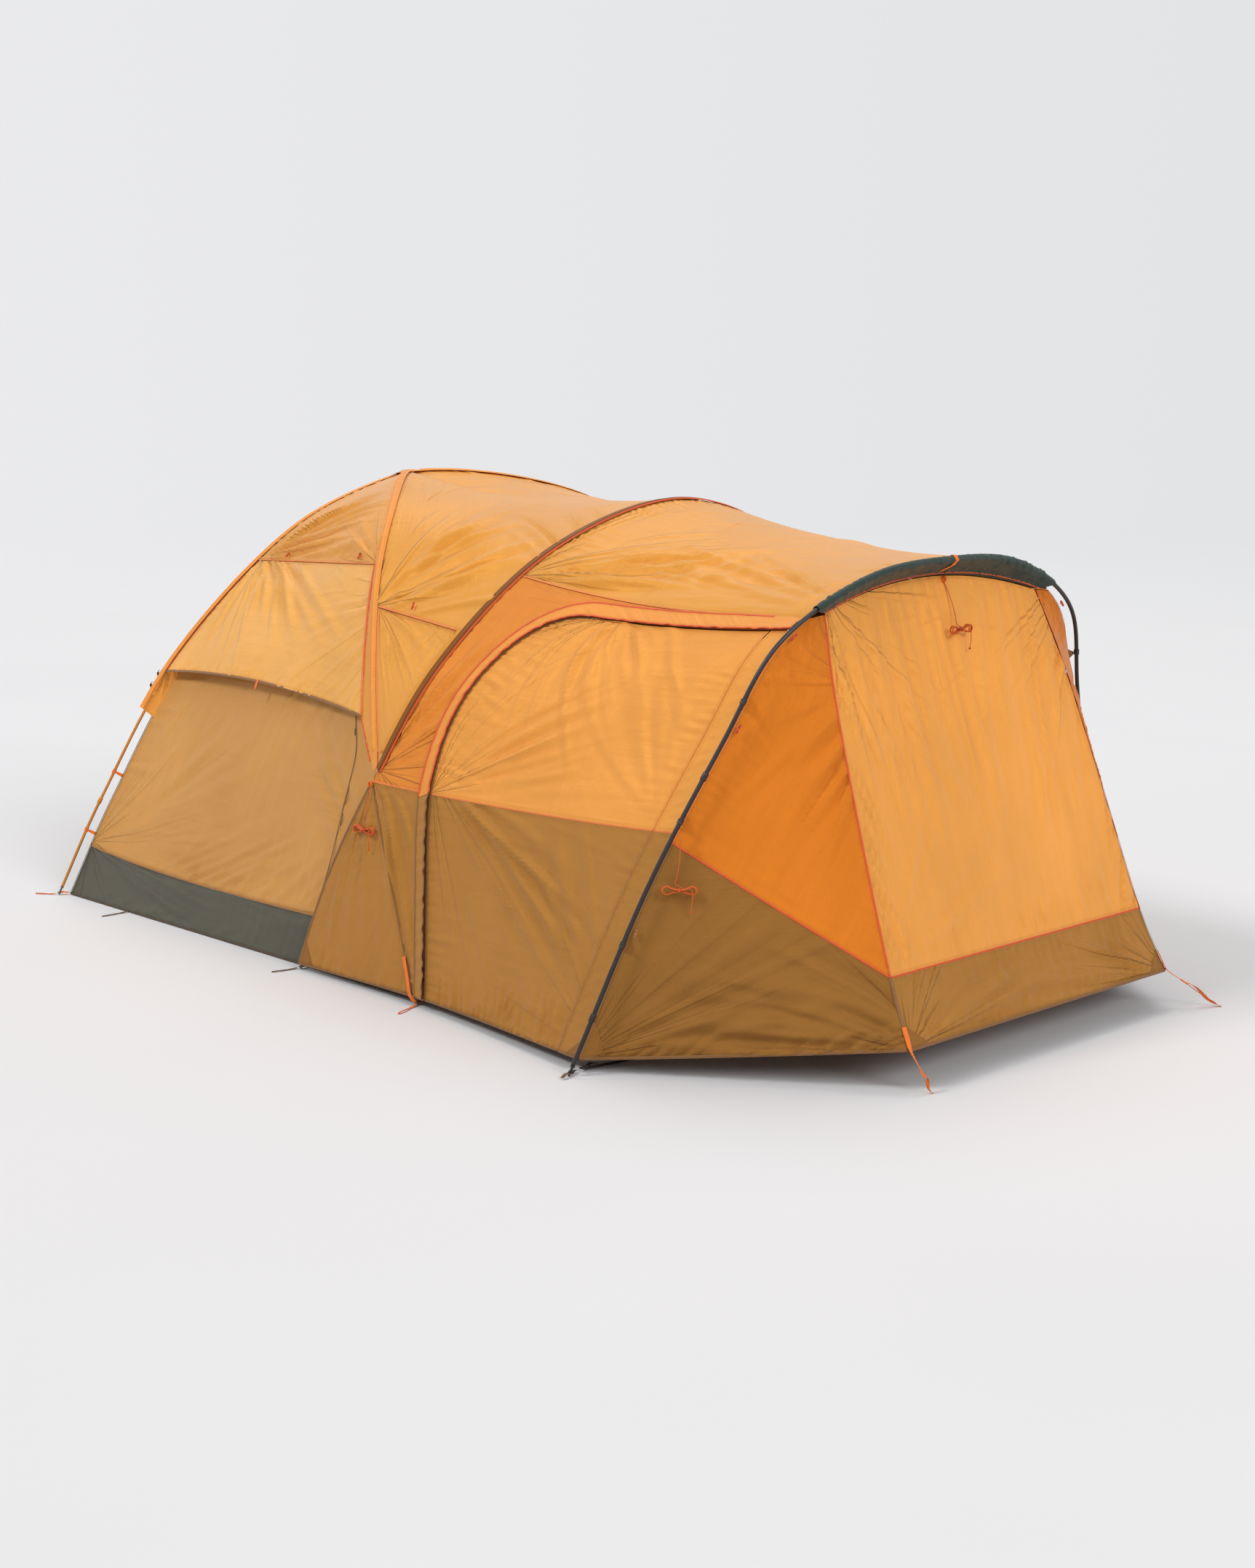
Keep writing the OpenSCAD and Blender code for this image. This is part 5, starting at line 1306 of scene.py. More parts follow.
# the sleeve's dark brown colour is painted shade along the hoop
sleeve("sleeve_hoop", arch(hoop_line), hoop_s, ahead, behind, "brown", ("hoop_sleeve",), 1, 153)
hoop_p = at(arch(hoop_line), hoop_s)
hoop_arm = beside(hoop_p, unit(np.gradient(hoop_p, axis=0)), ahead)
facing_tape("hoop_binding", resampled(hoop_p + hoop_arm * 18), DOME_MIDDLE, 7, "seam_red", lift=5.5,
            thick=1.4)

# ---- the patch over the crossing at the peak ----
PATCH_HALF = 60
p = proud(peak[None] + (0, 0, POLE_GAP), DOME_MIDDLE, SKIN + 10)[0]
i, j = np.meshgrid(np.linspace(-1, 1, 13), np.linspace(-1, 1, 13), indexing="ij")
dome = 24 * (1 - 0.5 * (i ** 2 + j ** 2)) - 23 + PATCH_HALF * i * math.sin(math.radians(8))
patch = np.stack([p[0] + PATCH_HALF * i, p[1] + PATCH_HALF * j, p[2] + dome], -1)
wr = Wrinkles(160).fan((0.5, 0.5), ((0, 0), (1, 0)), 4, 8, 1.5)
cloth("peak_patch", patch, "orange_strip", "tent", (), wr, 0.3, 160)

# ---- porch side ----
EDGE_SHARE, SEAM_SHARE, STORM_LIFT = 0.0016, 0.0016, 7
SIDE_MIDDLE = vec(600, 0, 500)
below, above = colour_v - SEAM_SHARE, colour_v + SEAM_SHARE
low_path, arch_path = zip_low(np.linspace(0, 1, 40)), zip_arch(np.linspace(0, 90, 60))
top_path = zip_top(np.linspace(0, 1, 40))
zip_end_v = float(zip_top(1)[0, 1])


def side_grid(left, right, step=13):
    """Cloth of the porch side between two paths of shares, from left to right and upwards."""
    la, ra = side_point(left[:, 0], left[:, 1]), side_point(right[:, 0], right[:, 1])
    n = shares(np.linalg.norm(ra - la, axis=1).mean(), step)
    p = lerp(left[None], right[None], n[:, None, None])
    return side_point(p[..., 0], p[..., 1])


def pair(u, v):
    return np.stack(np.broadcast_arrays(u, v), -1)


def even(path, n):
    """A path of shares at steady distances in space."""
    run = running(side_point(path[:, 0], path[:, 1]))
    d = np.linspace(0, run[-1], n)
    return np.stack([np.interp(d, run, path[:, k]) for k in range(2)], -1)


def edge_path(path, gap, n, low=-1.0, high=2.0):
    """n steady points of a path that is moved by a gap and kept between two heights."""
    p = shifted(path, gap)
    p[:, 1] = np.clip(p[:, 1], low, high)
    return even(p, n)


path_up = shifted(np.vstack([arch_path, top_path[1:]]), EDGE_SHARE)
outer_up = np.vstack([pair(SEAM_SHARE, np.linspace(above, 1 - SEAM_SHARE, 60)),
                      pair(np.linspace(SEAM_SHARE, 1 - SEAM_SHARE, 41)[1:-1], 1 - SEAM_SHARE)])
fly_upper = side_grid(even(outer_up, 150), even(path_up, 150))
low_right = edge_path(low_path, EDGE_SHARE, 56, high=below)
fly_lower = side_grid(pair(SEAM_SHARE, low_right[:, 1]), low_right)
strip_top = lerp(ARCH_V, zip_end_v, 0.9)
strip_lo, strip_hi = (side_grid(pair(HINGE_U + EDGE_SHARE, np.linspace(v0, v1, n)),
                                pair(1 - SEAM_SHARE, np.linspace(v0, v2, n)), 12)
                      for v0, v1, v2, n in ((0, below, below, 56), (above, strip_top, zip_end_v, 72)))
door_left = edge_path(low_path, -EDGE_SHARE, 60, high=below)
door_low = side_grid(door_left, pair(HINGE_U - EDGE_SHARE, door_left[:, 1]))
arch_left = edge_path(arch_path, -EDGE_SHARE, 84, low=above)
share_up = (arch_left[:, 1] - arch_left[0, 1]) / (arch_left[-1, 1] - arch_left[0, 1])
door_high = side_grid(arch_left, pair(HINGE_U - EDGE_SHARE, lerp(above, strip_top - EDGE_SHARE, share_up)))

leg_u = float(np.interp(foot_front[0], hem_line[:, 0], ticks))
storm_path = np.vstack([low_path, arch_path[1:], top_path[1:]])
storm_path[:, 0] = np.minimum(storm_path[:, 0], 0.99)
storm_outer = shifted(storm_path, STORM_W / 1620)
storm_outer[:, 0] = np.minimum(storm_outer[:, 0], 0.99)
storm_outer[:, 1] = np.maximum(storm_outer[:, 1], 0.002)


def storm_flap(tag, side, part, stretch_, n, mat, edge_mat, seed, wave, lift):
    """A loose strip over the zip, lifted and waving towards its free edge."""
    inner, outer = even(storm_path[stretch_], n), even(storm_outer[stretch_], n)
    cols = np.linspace(0, 1, 9)[:, None]
    p = lerp(outer[None], inner[None], cols[..., None])
    g = side_point(p[..., 0], p[..., 1])
    nrm = normals_of(g)
    run = metres_of(g)[1]
    rng = np.random.RandomState(seed)
    ripple = np.zeros_like(run)
    for f in (14, 19, 27, 9):
        ripple += rng.uniform(0.4, 1.0) * np.sin(2 * math.pi * f * run + rng.uniform(0, 7)
                                                 + cols * rng.uniform(-1.5, 1.5))
    h = STORM_LIFT + lift * cols ** 1.5 + wave * ripple * (0.2 + 0.8 * cols ** 1.2) * 0.5
    g = g + nrm * h[..., None]
    cloth(f"storm_{part}_{tag}", g, mat, "tent", (f"storm_flap_{tag}",), None, 0, seed, side=side)
    tape(f"storm_{part}_inner_{tag}", g[-1], nrm[-1], 7, edge_mat, "tent", 0.6, 1.4, side)
    tape(f"storm_{part}_outer_{tag}", g[0], nrm[0], 8, edge_mat, "tent", 0.0, 1.4, side)


def fly_side(tag, side, sd):
    wr = Wrinkles(sd + 1)
    wr.fan((0, 0.02), ((0.9, 0.06), (0.6, 0.42)), 8, 13, 4.5, start=(0, 0.1))
    wr.comb((1, 0.02), (1, 0.98), (-1, 0.02), 60, 8, 2.8, (0.08, 0.35))
    wr.comb((0, 0.05), (0, 0.6), (1, 0.03), 24, 8, 1.8, (0.06, 0.25))
    cloth(f"fly_upper_{tag}_cloth", fly_upper, "orange_fly", "tent", (f"fly_upper_{tag}",), wr, 3, sd + 1,
          side=side)
    wr = Wrinkles(sd + 2)
    wr.line((0.02, 1), (min(0.98, leg_u * 2.3), 0.02), 13, 7, 0, 0.35)
    wr.fan((0, 1), ((0.2, 0), (0.95, 0.4)), 6, 13, 4)
    wr.comb((1, 0.05), (1, 0.95), (-1, -0.05), 26, 8, 3, (0.1, 0.4))
    wr.comb((0, 0.1), (0, 0.9), (1, 0.05), 18, 8, 2, (0.05, 0.25))
    wr.comb((0.05, 0), (0.95, 0), (0.1, 1), 18, 10, 3, (0.05, 0.2))
    cloth(f"fly_lower_{tag}_cloth", fly_lower, "tan", "tent", (f"fly_lower_{tag}",), wr, 3, sd + 2,
          side=side, loose=("v0",))
    for part, grid, mat in (("low", strip_lo, "tan"), ("high", strip_hi, "orange_deep")):
        wr = Wrinkles(sd + 3).comb((0, 0.02), (0, 0.98), (1, 0.05), 30, 8, 2, (0.2, 0.8))
        cloth(f"fly_strip_{part}_{tag}", grid, mat, "tent", (), wr, 1, sd + 3, side=side)


def porch_door(tag, side, sd):
    wr = Wrinkles(sd + 5)
    wr.fan((0, 1), ((0.75, 0), (1, 0.62)), 12, 17, 4.2, start=(0, 0.2), bow=0.05)
    wr.fan((1, 0), ((0.05, 0.95), (0.75, 1)), 6, 20, 3, start=(0, 0.12), bow=0.05)
    wr.comb((0, 0.05), (0, 0.95), (1, -0.1), 20, 9, 3, (0.05, 0.2))
    wr.comb((0.05, 0), (0.95, 0), (0.05, 1), 22, 12, 4, (0.06, 0.24))
    wr.comb((1, 0.1), (1, 0.95), (-1, 0.1), 16, 9, 2.5, (0.05, 0.2))
    pieces = [cloth(f"door_low_{tag}", door_low, "tan", None, (f"porch_door_lower_{tag}",), wr, 5, sd + 5,
                    side=side, loose=("v0",))]
    wr = Wrinkles(sd + 6)
    wr.fan((0, 0), ((0.95, 0.12), (0.6, 0.7)), 8, 16, 3.4, start=(0, 0.15), bow=0.05)
    wr.fan((1, 0), ((0.1, 0.7), (0.8, 1)), 5, 19, 2.2, start=(0, 0.12), bow=0.05)
    wr.comb((0, 0.05), (0, 0.98), (0.8, -0.25), 44, 9, 3.2, (0.08, 0.28))
    wr.comb((1, 0.05), (1, 0.98), (-1, 0.1), 24, 9, 2.4, (0.05, 0.2))
    wr.fan((0.1, 0.95), ((0.5, 0), (0.95, 0.4)), 6, 16, 4, bow=0.05)
    pieces.append(cloth(f"door_high_{tag}", door_high, "orange_deep", None, (f"porch_door_upper_{tag}",), wr,
                        4, sd + 6, side=side))
    seam_run = side_point(np.linspace(float(low_path[-1, 0]), HINGE_U, 60), colour_v)
    for name, line, w, mat, *height in (
            ("seam", seam_run, 7, "seam_orange", 0.8), ("hem", door_low[:, 0], 12, "binding_tan", 0.2, 1.6),
            ("edge", np.vstack([door_low[0], door_high[0, 1:]]), 10, "binding_tan", 0.2, 1.4)):
        pieces.append(facing_tape(f"door_{name}_{tag}", line, SIDE_MIDDLE, w, mat, None, side, *height))
    follow(pieces, side_point(HINGE_U, 0), side_point(HINGE_U, ARCH_V), (-1, 0.15, 0),
           side)


for tag, side in SIDES:
    sd = 200 if side > 0 else 230
    fly_side(tag, side, sd)
    porch_door(tag, side, sd)
    for part, v0, v1, mat in (("low", 0, colour_v, "seam_tan_light"),
                              ("high", colour_v, ARCH_V, "seam_cloth")):
        hinge = side_point(HINGE_U, np.linspace(v0, v1, 90))
        seams(tag, side, SIDE_MIDDLE, [(f"door_hinge_{part}", hinge, 7, mat, 1.2)])
    storm_flap(tag, side, "low", slice(0, 40), 90, "tan", "binding_tan", sd + 8, 4.6, 9)
    storm_flap(tag, side, "arch", slice(39, None), 150, "orange_strip", "seam_red", sd + 9, 2.6, 5)
    fly_seam = side_point(np.linspace(0.0, float(low_path[-1, 0]) - 0.01, 40), colour_v)
    strip_seam = side_point(np.linspace(HINGE_U, 1, 10), colour_v)
    seams(tag, side, SIDE_MIDDLE, [
        ("fly_seam", fly_seam, 7, "seam_orange", 0.8), ("strip_seam", strip_seam, 7, "seam_orange", 0.8),
        ("fly_hem", fly_lower[:, 0], 12, "binding_tan", 0.2, 1.6),
        ("strip_hem", strip_lo[:, 0], 12, "binding_tan", 0.2, 1.6),
        ("hoop_edge", at(edge_hoop, np.linspace(0, colour_v, 80)), 9, "binding_tan"),
        ("roof_seam", at(seam_line, np.linspace(0, 1, 110)), 7, "seam_orange")])

# ---- porch front and roof ----
SEAM_LAP = 0.001
for tag, side in SIDES:
    sd = 300 if side > 0 else 330
    w = np.linspace(0, 1, 78)
    g = between(at(crease_line, lerp(crease_colour, 1, w)), at(front_edge, lerp(skirt_share, 1, w)),
                belly=SIDE_BELLY)
    wr = Wrinkles(sd)
    wr.fan((0.5, 1.02), ((0.02, 0), (0.98, 0)), 16, 13, 5, start=(0.05, 0.3), bow=0.02)
    wr.comb((0, 0.02), (0, 0.98), (1, -0.05), 34, 8, 2.6, (0.06, 0.25))
    wr.comb((1, 0.02), (1, 0.98), (-1, -0.1), 34, 8, 3, (0.06, 0.3))
    wr.comb((0.02, 0), (0.98, 0), (0.05, 1), 22, 9, 3, (0.04, 0.14))
    cloth(f"front_side_{tag}_cloth", g, "orange_side", "tent", (f"front_side_{tag}",), wr, 3, sd, side=side)
    w = np.linspace(0, 1, 56)
    g = between(at(crease_line, lerp(0, crease_colour - SEAM_LAP, w)),
                at(front_edge, lerp(0, skirt_share - SEAM_LAP, w)), belly=SIDE_BELLY)
    wr = Wrinkles(sd + 1)
    wr.fan((1, 0), ((0, 0.1), (0.1, 0.7)), 10, 22, 5.5, start=(0, 0.1), bow=0.04)
    wr.fan((0, 0), ((0.9, 0.25), (0.5, 0.95)), 7, 20, 3.6, start=(0, 0.1), bow=0.04)
    wr.comb((0.02, 0), (0.98, 0), (0.5, 0.8), 18, 14, 4, (0.04, 0.2))
    wr.comb((0.02, 1), (0.98, 1), (0.1, -1), 26, 10, 3, (0.04, 0.18))
    cloth(f"front_side_skirt_{tag}", g, "tan_low", "tent", ("front_side_skirts",), wr, 6, sd + 1, side=side,
          loose=("v0",))
    seam = span(at(crease_line, crease_colour)[None], at(front_edge, skirt_share)[None],
                np.linspace(0, 1, 60), 0, 0, SIDE_BELLY)
    seams(tag, side, (1500, 0, 400), [("front_side_seam", seam, 7, "seam_red")])
    seams(tag, side, (1500, 0, 300), [("front_side_hem", g[:, 0], 12, "binding_tan", 0.2, 1.6)])
    for name, line, share, n, x, lift, mat in (
            ("front_corner", front_edge, skirt_share, 60, 2200, 1.4, "seam_red"),
            ("crease_seam", crease_line, crease_colour, 120, 1200, 1.2, "seam_orange")):
        upper, lower = resampled(stretch(line, share, 1, 120)), resampled(stretch(line, 0, share, n))
        seams(tag, side, (x, 0, 600), [(name, upper, 7, mat, lift)])
        seams(tag, side, (x, 0, 300), [(f"{name}_low", lower, 10, "binding_tan", lift)])

w = np.linspace(0, 1, 84)
a = at(front_edge, lerp(skirt_share, 1, w))
g = between(a, far(a), belly=FRONT_RISE * w[:, None] ** 3)
wr = Wrinkles(350)
wr.comb((0, 0), (0, 1), (0.3, -1), 18, 12, 6.5, (0.1, 0.35))
wr.comb((1, 0), (1, 1), (-0.3, -1), 18, 12, 6.5, (0.1, 0.35))
wr.comb((0.03, 0), (0.97, 0), (0.02, 1), 40, 9, 3.2, (0.04, 0.16))
wr.comb((0.06, 0.85), (0.5, 0.98), (0.1, -1), 9, 22, 6, (0.3, 0.7))
wr.comb((0.55, 0.98), (0.94, 0.85), (-0.1, -1), 9, 22, 6, (0.3, 0.7))
wr.comb((0.15, 1), (0.85, 1), (0.02, -1), 24, 10, 2.6, (0.05, 0.25))
wr.fan((0, 1), ((0.08, 0), (0.45, 0.2)), 5, 20, 5)
wr.fan((1, 1), ((0.92, 0), (0.55, 0.2)), 5, 20, 5)
wr.fan((0, 0), ((0.3, 0.6), (0.8, 0.2)), 4, 20, 3.5)
cloth("front_panel_cloth", g, "orange_front", "tent", ("front_panel",), wr, 5, 350)
a = at(front_edge, lerp(0, skirt_share - SEAM_LAP, np.linspace(0, 1, 20)))
g = between(a, far(a))
wr = Wrinkles(352)
wr.fan((0, 0), ((0.3, 1), (0.9, 0.4)), 6, 18, 5).fan((1, 0), ((0.7, 1), (0.1, 0.4)), 6, 18, 5)
wr.comb((0.02, 1), (0.98, 1), (0.03, -1), 36, 10, 3, (0.15, 0.6))
wr.comb((0.02, 0), (0.98, 0), (0.03, 1), 26, 12, 3, (0.15, 0.5))
cloth("front_skirt_cloth", g, "tan", "tent", ("front_skirt",), wr, 4, 352, loose=("v0",))
facing_tape("front_hem", g[:, 0], (1500, 0, 300), 12, "binding_tan", lift=0.2, thick=1.6)
a = at(front_edge, skirt_share)
seam = span(a[None], far(a)[None], np.linspace(0, 1, 110), 0, 0)
facing_tape("front_seam", seam, (1500, 0, 300), 7, "seam_red")

# ---- sleeve band round the top of the porch pole ----
BAND_COLS = 130
arc = at(band_arc, np.linspace(0, 1, BAND_COLS))
lower = span(front_edge[-1][None], far(front_edge[-1])[None], np.linspace(0, 1, BAND_COLS), 0, 0, FRONT_RISE)
lower = lower + (5, 0, 4)
around = [arc + BAND_R * vec(math.cos(a), 0, math.sin(a)) for a in np.radians((-20, 20, 60, 100, 140, 180))]
knots = np.stack([lower, lerp(lower, around[0], 0.6) + (3, 0, 0), *around, arc + (-BAND_R - 2, 0, -14)], 0)
g = np.stack([spline(list(knots[:, k]), n=4) for k in range(BAND_COLS)], 0)
wr = Wrinkles(360)
wr.comb((0.01, 0), (0.99, 0), (0.02, 1), 46, 6, 2.4, (0.2, 0.9))
wr.comb((0.01, 0.75), (0.99, 0.75), (0.03, -1), 30, 6, 2.2, (0.1, 0.5))
cloth("sleeve_band_cloth", g, "band", "tent", ("sleeve_band",), wr, 0.8, 360)
tape("band_hem", g[:, 1], (1, 0, 0.2), 6, "seam_red", "tent", 0.6, 1.4)
tape("band_edge", g[:, -1], (-1, 0, 0.2), 9, "binding_dark", "tent", 0.6, 1.4)
over_band = resampled(GRIDS["sleeve_band_cloth"][int(BAND_COLS * 0.52), 2:-3], 5)
outs = np.cross(unit(np.gradient(over_band, axis=0)), (0, 1, 0))
outs = outs * np.sign((outs * (over_band - arc[BAND_COLS // 2])).sum(-1, keepdims=True))
tape("band_loop", over_band, outs, 20, "webbing", "tent", 1.4, 1.6)

w = np.linspace(0, 1, 76)
sagging = lerp(SEAM_SAG, vec(0, 0, -45), np.minimum(1, 2 * w)[:, None])
to_seam = smooth_step(w / 0.16)[:, None]
to_band = lerp(crease_line[-1] + (0, 0, 6), at(band_arc + (-BAND_R - 8, 0, 2), w / 2), to_seam)
half = between(at(hoop_line, lerp(side_share, 1, w)), to_band, belly=sagging)
wr = Wrinkles(370)
for v0, k in ((0, 1), (1, -1)):
    wr.fan((0, v0), ((0.9, v0 + 0.1 * k), (0.6, v0 + 0.4 * k)), 7, 18, 6, start=(0, 0.12))
    wr.fan((1, v0 + 0.06 * k), ((0.1, v0 + 0.1 * k), (0.4, v0 + 0.42 * k)), 7, 16, 5, start=(0, 0.12))
wr.comb((0, 0.05), (0, 0.95), (0.5, 0), 34, 9, 2.6, (0.05, 0.25))
wr.comb((1, 0.1), (1, 0.9), (-0.5, 0), 26, 9, 2.6, (0.05, 0.25))
cloth("porch_roof_cloth", mirrored(half), "orange", "tent", ("porch_roof",), wr, 4, 370)


# ---- patches, gussets and seams on the cloths ----
def sampled(g, u, v):
    """Points of a grid at shares u and v of its two ways."""
    x, y = np.clip(u, 0, 1) * (g.shape[0] - 1), np.clip(v, 0, 1) * (g.shape[1] - 1)
    i, j = np.minimum(x.astype(int), g.shape[0] - 2), np.minimum(y.astype(int), g.shape[1] - 2)
    a, b = (x - i)[..., None], (y - j)[..., None]
    return lerp(lerp(g[i, j], g[i + 1, j], a), lerp(g[i, j + 1], g[i + 1, j + 1], a), b)


def corner_patch(name, source, corner, reach, side=1):
    """A triangle of a second layer sewn over a sheet's corner; reach is in millimetres."""
    g = GRIDS[source]
    s, t = metres_of(g)
    du, dv = reach[0] * MM / s[-1].max(), reach[1] * MM / t[:, -1].max()
    b, a = np.meshgrid(np.linspace(0, 1, 15), np.linspace(0, 1, 15))
    u, v = du * a * (1 - b), dv * b
    u, v = (1 - u if corner[0] else u), (1 - v if corner[1] else v)
    q = sampled(g, u, v) + unit(sampled(normals_of(g), u, v))
    if corner[0] != corner[1]:
        q = q[::-1]
    cloth(name, q[:, :-1], "tan_dark", "tent", (), None, 0, 9, side=side)


GUSSET_LOW, GUSSET_TOP, GUSSET_DROP = 858, 1056, 60
for tag, side in SIDES:
    for label, source, corner, reach in (("porch_back", f"fly_strip_low_{tag}", (1, 0), (80, 95)),
                                         ("porch_front", f"front_side_skirt_{tag}", (0, 0), (100, 150)),
                                         ("front_side", f"front_side_skirt_{tag}", (1, 0), (110, 120))):
        corner_patch(f"patch_{label}_{tag}", source, corner, reach, side)
    corner_patch(f"patch_front_{tag}", "front_skirt_cloth", (0 if side > 0 else 1, 0), (105, 120))
    corner_patch(f"patch_hoop_{tag}", f"fly_lower_{tag}_cloth", (0, 0), (90, 110), side)
    # the ridge that the front leg pushes into the porch side, as a thin seam
    v = np.linspace(0.004, colour_v - 0.004, 70)
    leg = at_z(front_half(POLE_GAP, POLE_GAP), side_point(0.3, v)[:, 2])
    ridge = side_point(np.maximum(side_u(leg[:, 0], v), 0.002), v)
    seams(tag, side, SIDE_MIDDLE, [("leg_ridge", ridge, 5, "binding_tan", 1.6, 1.6)])
    # webbing sewn over the ridge's foot, to the front leg's ring
    low = np.vstack([ridge[12::-2] + (0, -4, 0), foot_front[None] + (2, -13, 8)])
    low = spline(list(low[::2]) + [low[-1]], n=6)
    tape(f"leg_webbing_{tag}", low, (0.1, -1, 0.12), 17, "webbing", "tent", 1.5, 1.6, side)
    # gusset between the rear sleeve's foot and the wall's corner
    z = np.linspace(GUSSET_LOW, GUSSET_TOP, 24)
    a, b, across = at_z(rear_line, z), wall_rear(z) + (12, -2, 0), np.linspace(0, 1, 12)[:, None]
    drop = GUSSET_DROP * across * (1 - (z - GUSSET_LOW) / (GUSSET_TOP - GUSSET_LOW))
    g = lerp(a[None], b[None], across[..., None]) + (0, -7, 0) + vec(0, 0, -1) * drop[..., None]
    wr = Wrinkles(410).fan((0, 1), ((0, 0), (1, 0.1)), 5, 5, 3)
    wr.comb((0, 0.1), (0, 0.9), (1, 0.2), 8, 4, 2, (0.3, 0.9))
    cloth(f"leg_gusset_{tag}", g, "orange_deep", "tent", (), wr, 1, 411, 0.006, side=side)

# ---- feet, clips and other hardware ----
TIP_LEN, RING_Z, WEB_W, CLIP_LEN = 36, 9, 25, 30
ROUND = np.linspace(0, 1, 16)[:, None]


def lathe(name, base, axis, profile, mat, sides=28, closed=False):
    """A turned piece from (height, radius) pairs; closed makes a ring of it."""
    axis = unit(np.asarray(axis, float))
    x = unit(np.cross(axis, (0.31, 0.52, 0.79)))
    y = np.cross(axis, x)
    a = np.arange(sides) * 2 * math.pi / sides
    ring = np.cos(a)[:, None] * x + np.sin(a)[:, None] * y
    g = np.array([base + h * axis + r * ring for h, r in profile])
    uv = ring_uv(a * MM * 8, np.array(profile)[:, 0] * MM)
    return new_piece(name, g.reshape(-1, 3), ring_faces(len(g), sides, True, closed), mat, uv)


def mirror_piece(obj, side):
    """Moves a freshly made piece to the far side."""
    if side < 0:
        obj.data.flip_normals()
        for vert in obj.data.vertices:
            vert.co.y = -vert.co.y
    return obj


def bar(name, a, b, wide, thick, up, mat):
    """A moulded bar with rounded corners and softened ends."""
    a, b, up = np.asarray(a, float), np.asarray(b, float), unit(np.asarray(up, float))
    d = unit(b - a)
    across = np.cross(d, up)
    t = np.linspace(0, 2 * math.pi, 21)[:-1]
    cx = np.sign(np.cos(t)) * np.abs(np.cos(t)) ** 0.45 * wide / 2
    cy = np.sign(np.sin(t)) * np.abs(np.sin(t)) ** 0.45 * thick / 2
    soft = min(wide, thick) * 0.3
    length = np.linalg.norm(b - a)
    ends = ((0, 0.72), (soft * 0.4, 0.92), (soft, 1), (length - soft, 1),
            (length - soft * 0.4, 0.92), (length, 0.72))
    g = np.vstack([a + d * h + across * (cx * k)[:, None] + up * (cy * k)[:, None] for h, k in ends])
    return new_piece(name, g, ring_faces(len(ends), len(t)), mat, np.zeros((len(g), 2)))


def ring_profile(r0, r1, length):
    """A moulded collar with rounded lips, about the middle of its length."""
    h, c = length / 2, min(1.2, (r1 - r0) * 0.4)
    low = r1 - 0.5 * c
    return [(-h, r0 + c), (-h, r1 - c), (-h + c, r1), (-h + 4 * c, r1), (-h + 5 * c, low), (h - 5 * c, low),
            (h - 4 * c, r1), (h - c, r1), (h, r1 - c), (h, r0 + c), (h - c, r0), (-h + c, r0)]


def flat_triangle(name, a, b, mat, side=1, thick=1.4):
    """A sewn piece of webbing between the points a and the points b, in one thin solid."""
    g = lerp(a[None], b[None], np.linspace(0, 1, 8)[:, None, None])
    nrm = normals_of(g)
    wave = np.sin(np.linspace(0, math.pi, 8))[:, None, None] * 1.2
    top, low = g + nrm * (thick / 2 + wave), g - nrm * (thick / 2 - wave)
    n, m = g.shape[:2]
    k = n * m
    f = grid_faces(n, m)
    faces = [tuple(q) for q in f] + [tuple(q[::-1] + k) for q in f]
    loop = [i * m for i in range(n)] + [(n - 1) * m + j for j in range(1, m)]
    loop += [i * m + m - 1 for i in range(n - 2, -1, -1)] + [j for j in range(m - 2, 0, -1)]
    faces += [(q, p, p + k, q + k) for p, q in zip(loop, loop[1:] + loop[:1])]
    uv = np.tile(np.stack(metres_of(g), -1).reshape(-1, 2), (2, 1))
    verts = np.vstack([top.reshape(-1, 3), low.reshape(-1, 3)])
    return mirror_piece(new_piece(name, verts, faces, mat, uv), side)


# the seam down each side wall, with its small pull, and the cord-locks at the rear sleeves' feet
LOCK_PROFILE = [(0, 0.3), (0, 4), (1.2, 5), (13, 5), (14.2, 4), (14.2, 0.3)]
for tag, side in SIDES:
    g = GRIDS[f"wall_side_{tag}_cloth"] * (1, side, 1)
    v = np.linspace(0.985, 0.005, 70)
    u = 0.92 - 0.245 * np.maximum(0, 0.72 - v)
    run = sampled(g, u, v)
    nrm = unit(sampled(normals_of(GRIDS["wall_side_near_cloth"]), u, v))
    run = at(spline(list(run[::9]) + [run[-1]], n=8), np.linspace(0, 1, 70))
    tape(f"wall_seam_{tag}", run, nrm, 3.6, "seam_brown", "tent", 2, 1.2, side)
    k, hang = int(0.16 * len(v)), np.linspace(0, 1, 10)[:, None]
    pull = run[k] + nrm[k] * (5 + 2 * np.sin(math.pi * hang)) - vec(0, 0, 34) * hang
    tape(f"wall_seam_pull_{tag}", pull, nrm[k], 5, "binding_dark", "tent", 0, 1.6, side)
    locks = []
    for z in (1000, 948):
        c = at_z(rear_line, z) + (-15, -4, 0)
        tail = spline([c + (0, 0, -14), c + (-2, 0, 7), c + (5, 1, 20), c + (14, 3, 22)], n=6)
        locks.append(mirror_piece(lathe("lock", c, (0.2, 0, 1), LOCK_PROFILE, "plastic"), side))
        locks.append(mirror_piece(tube("lock", tail, 1.3, "cord_dark", 8), side))
    merge(f"rear_cord_locks_{tag}", locks, "tent")

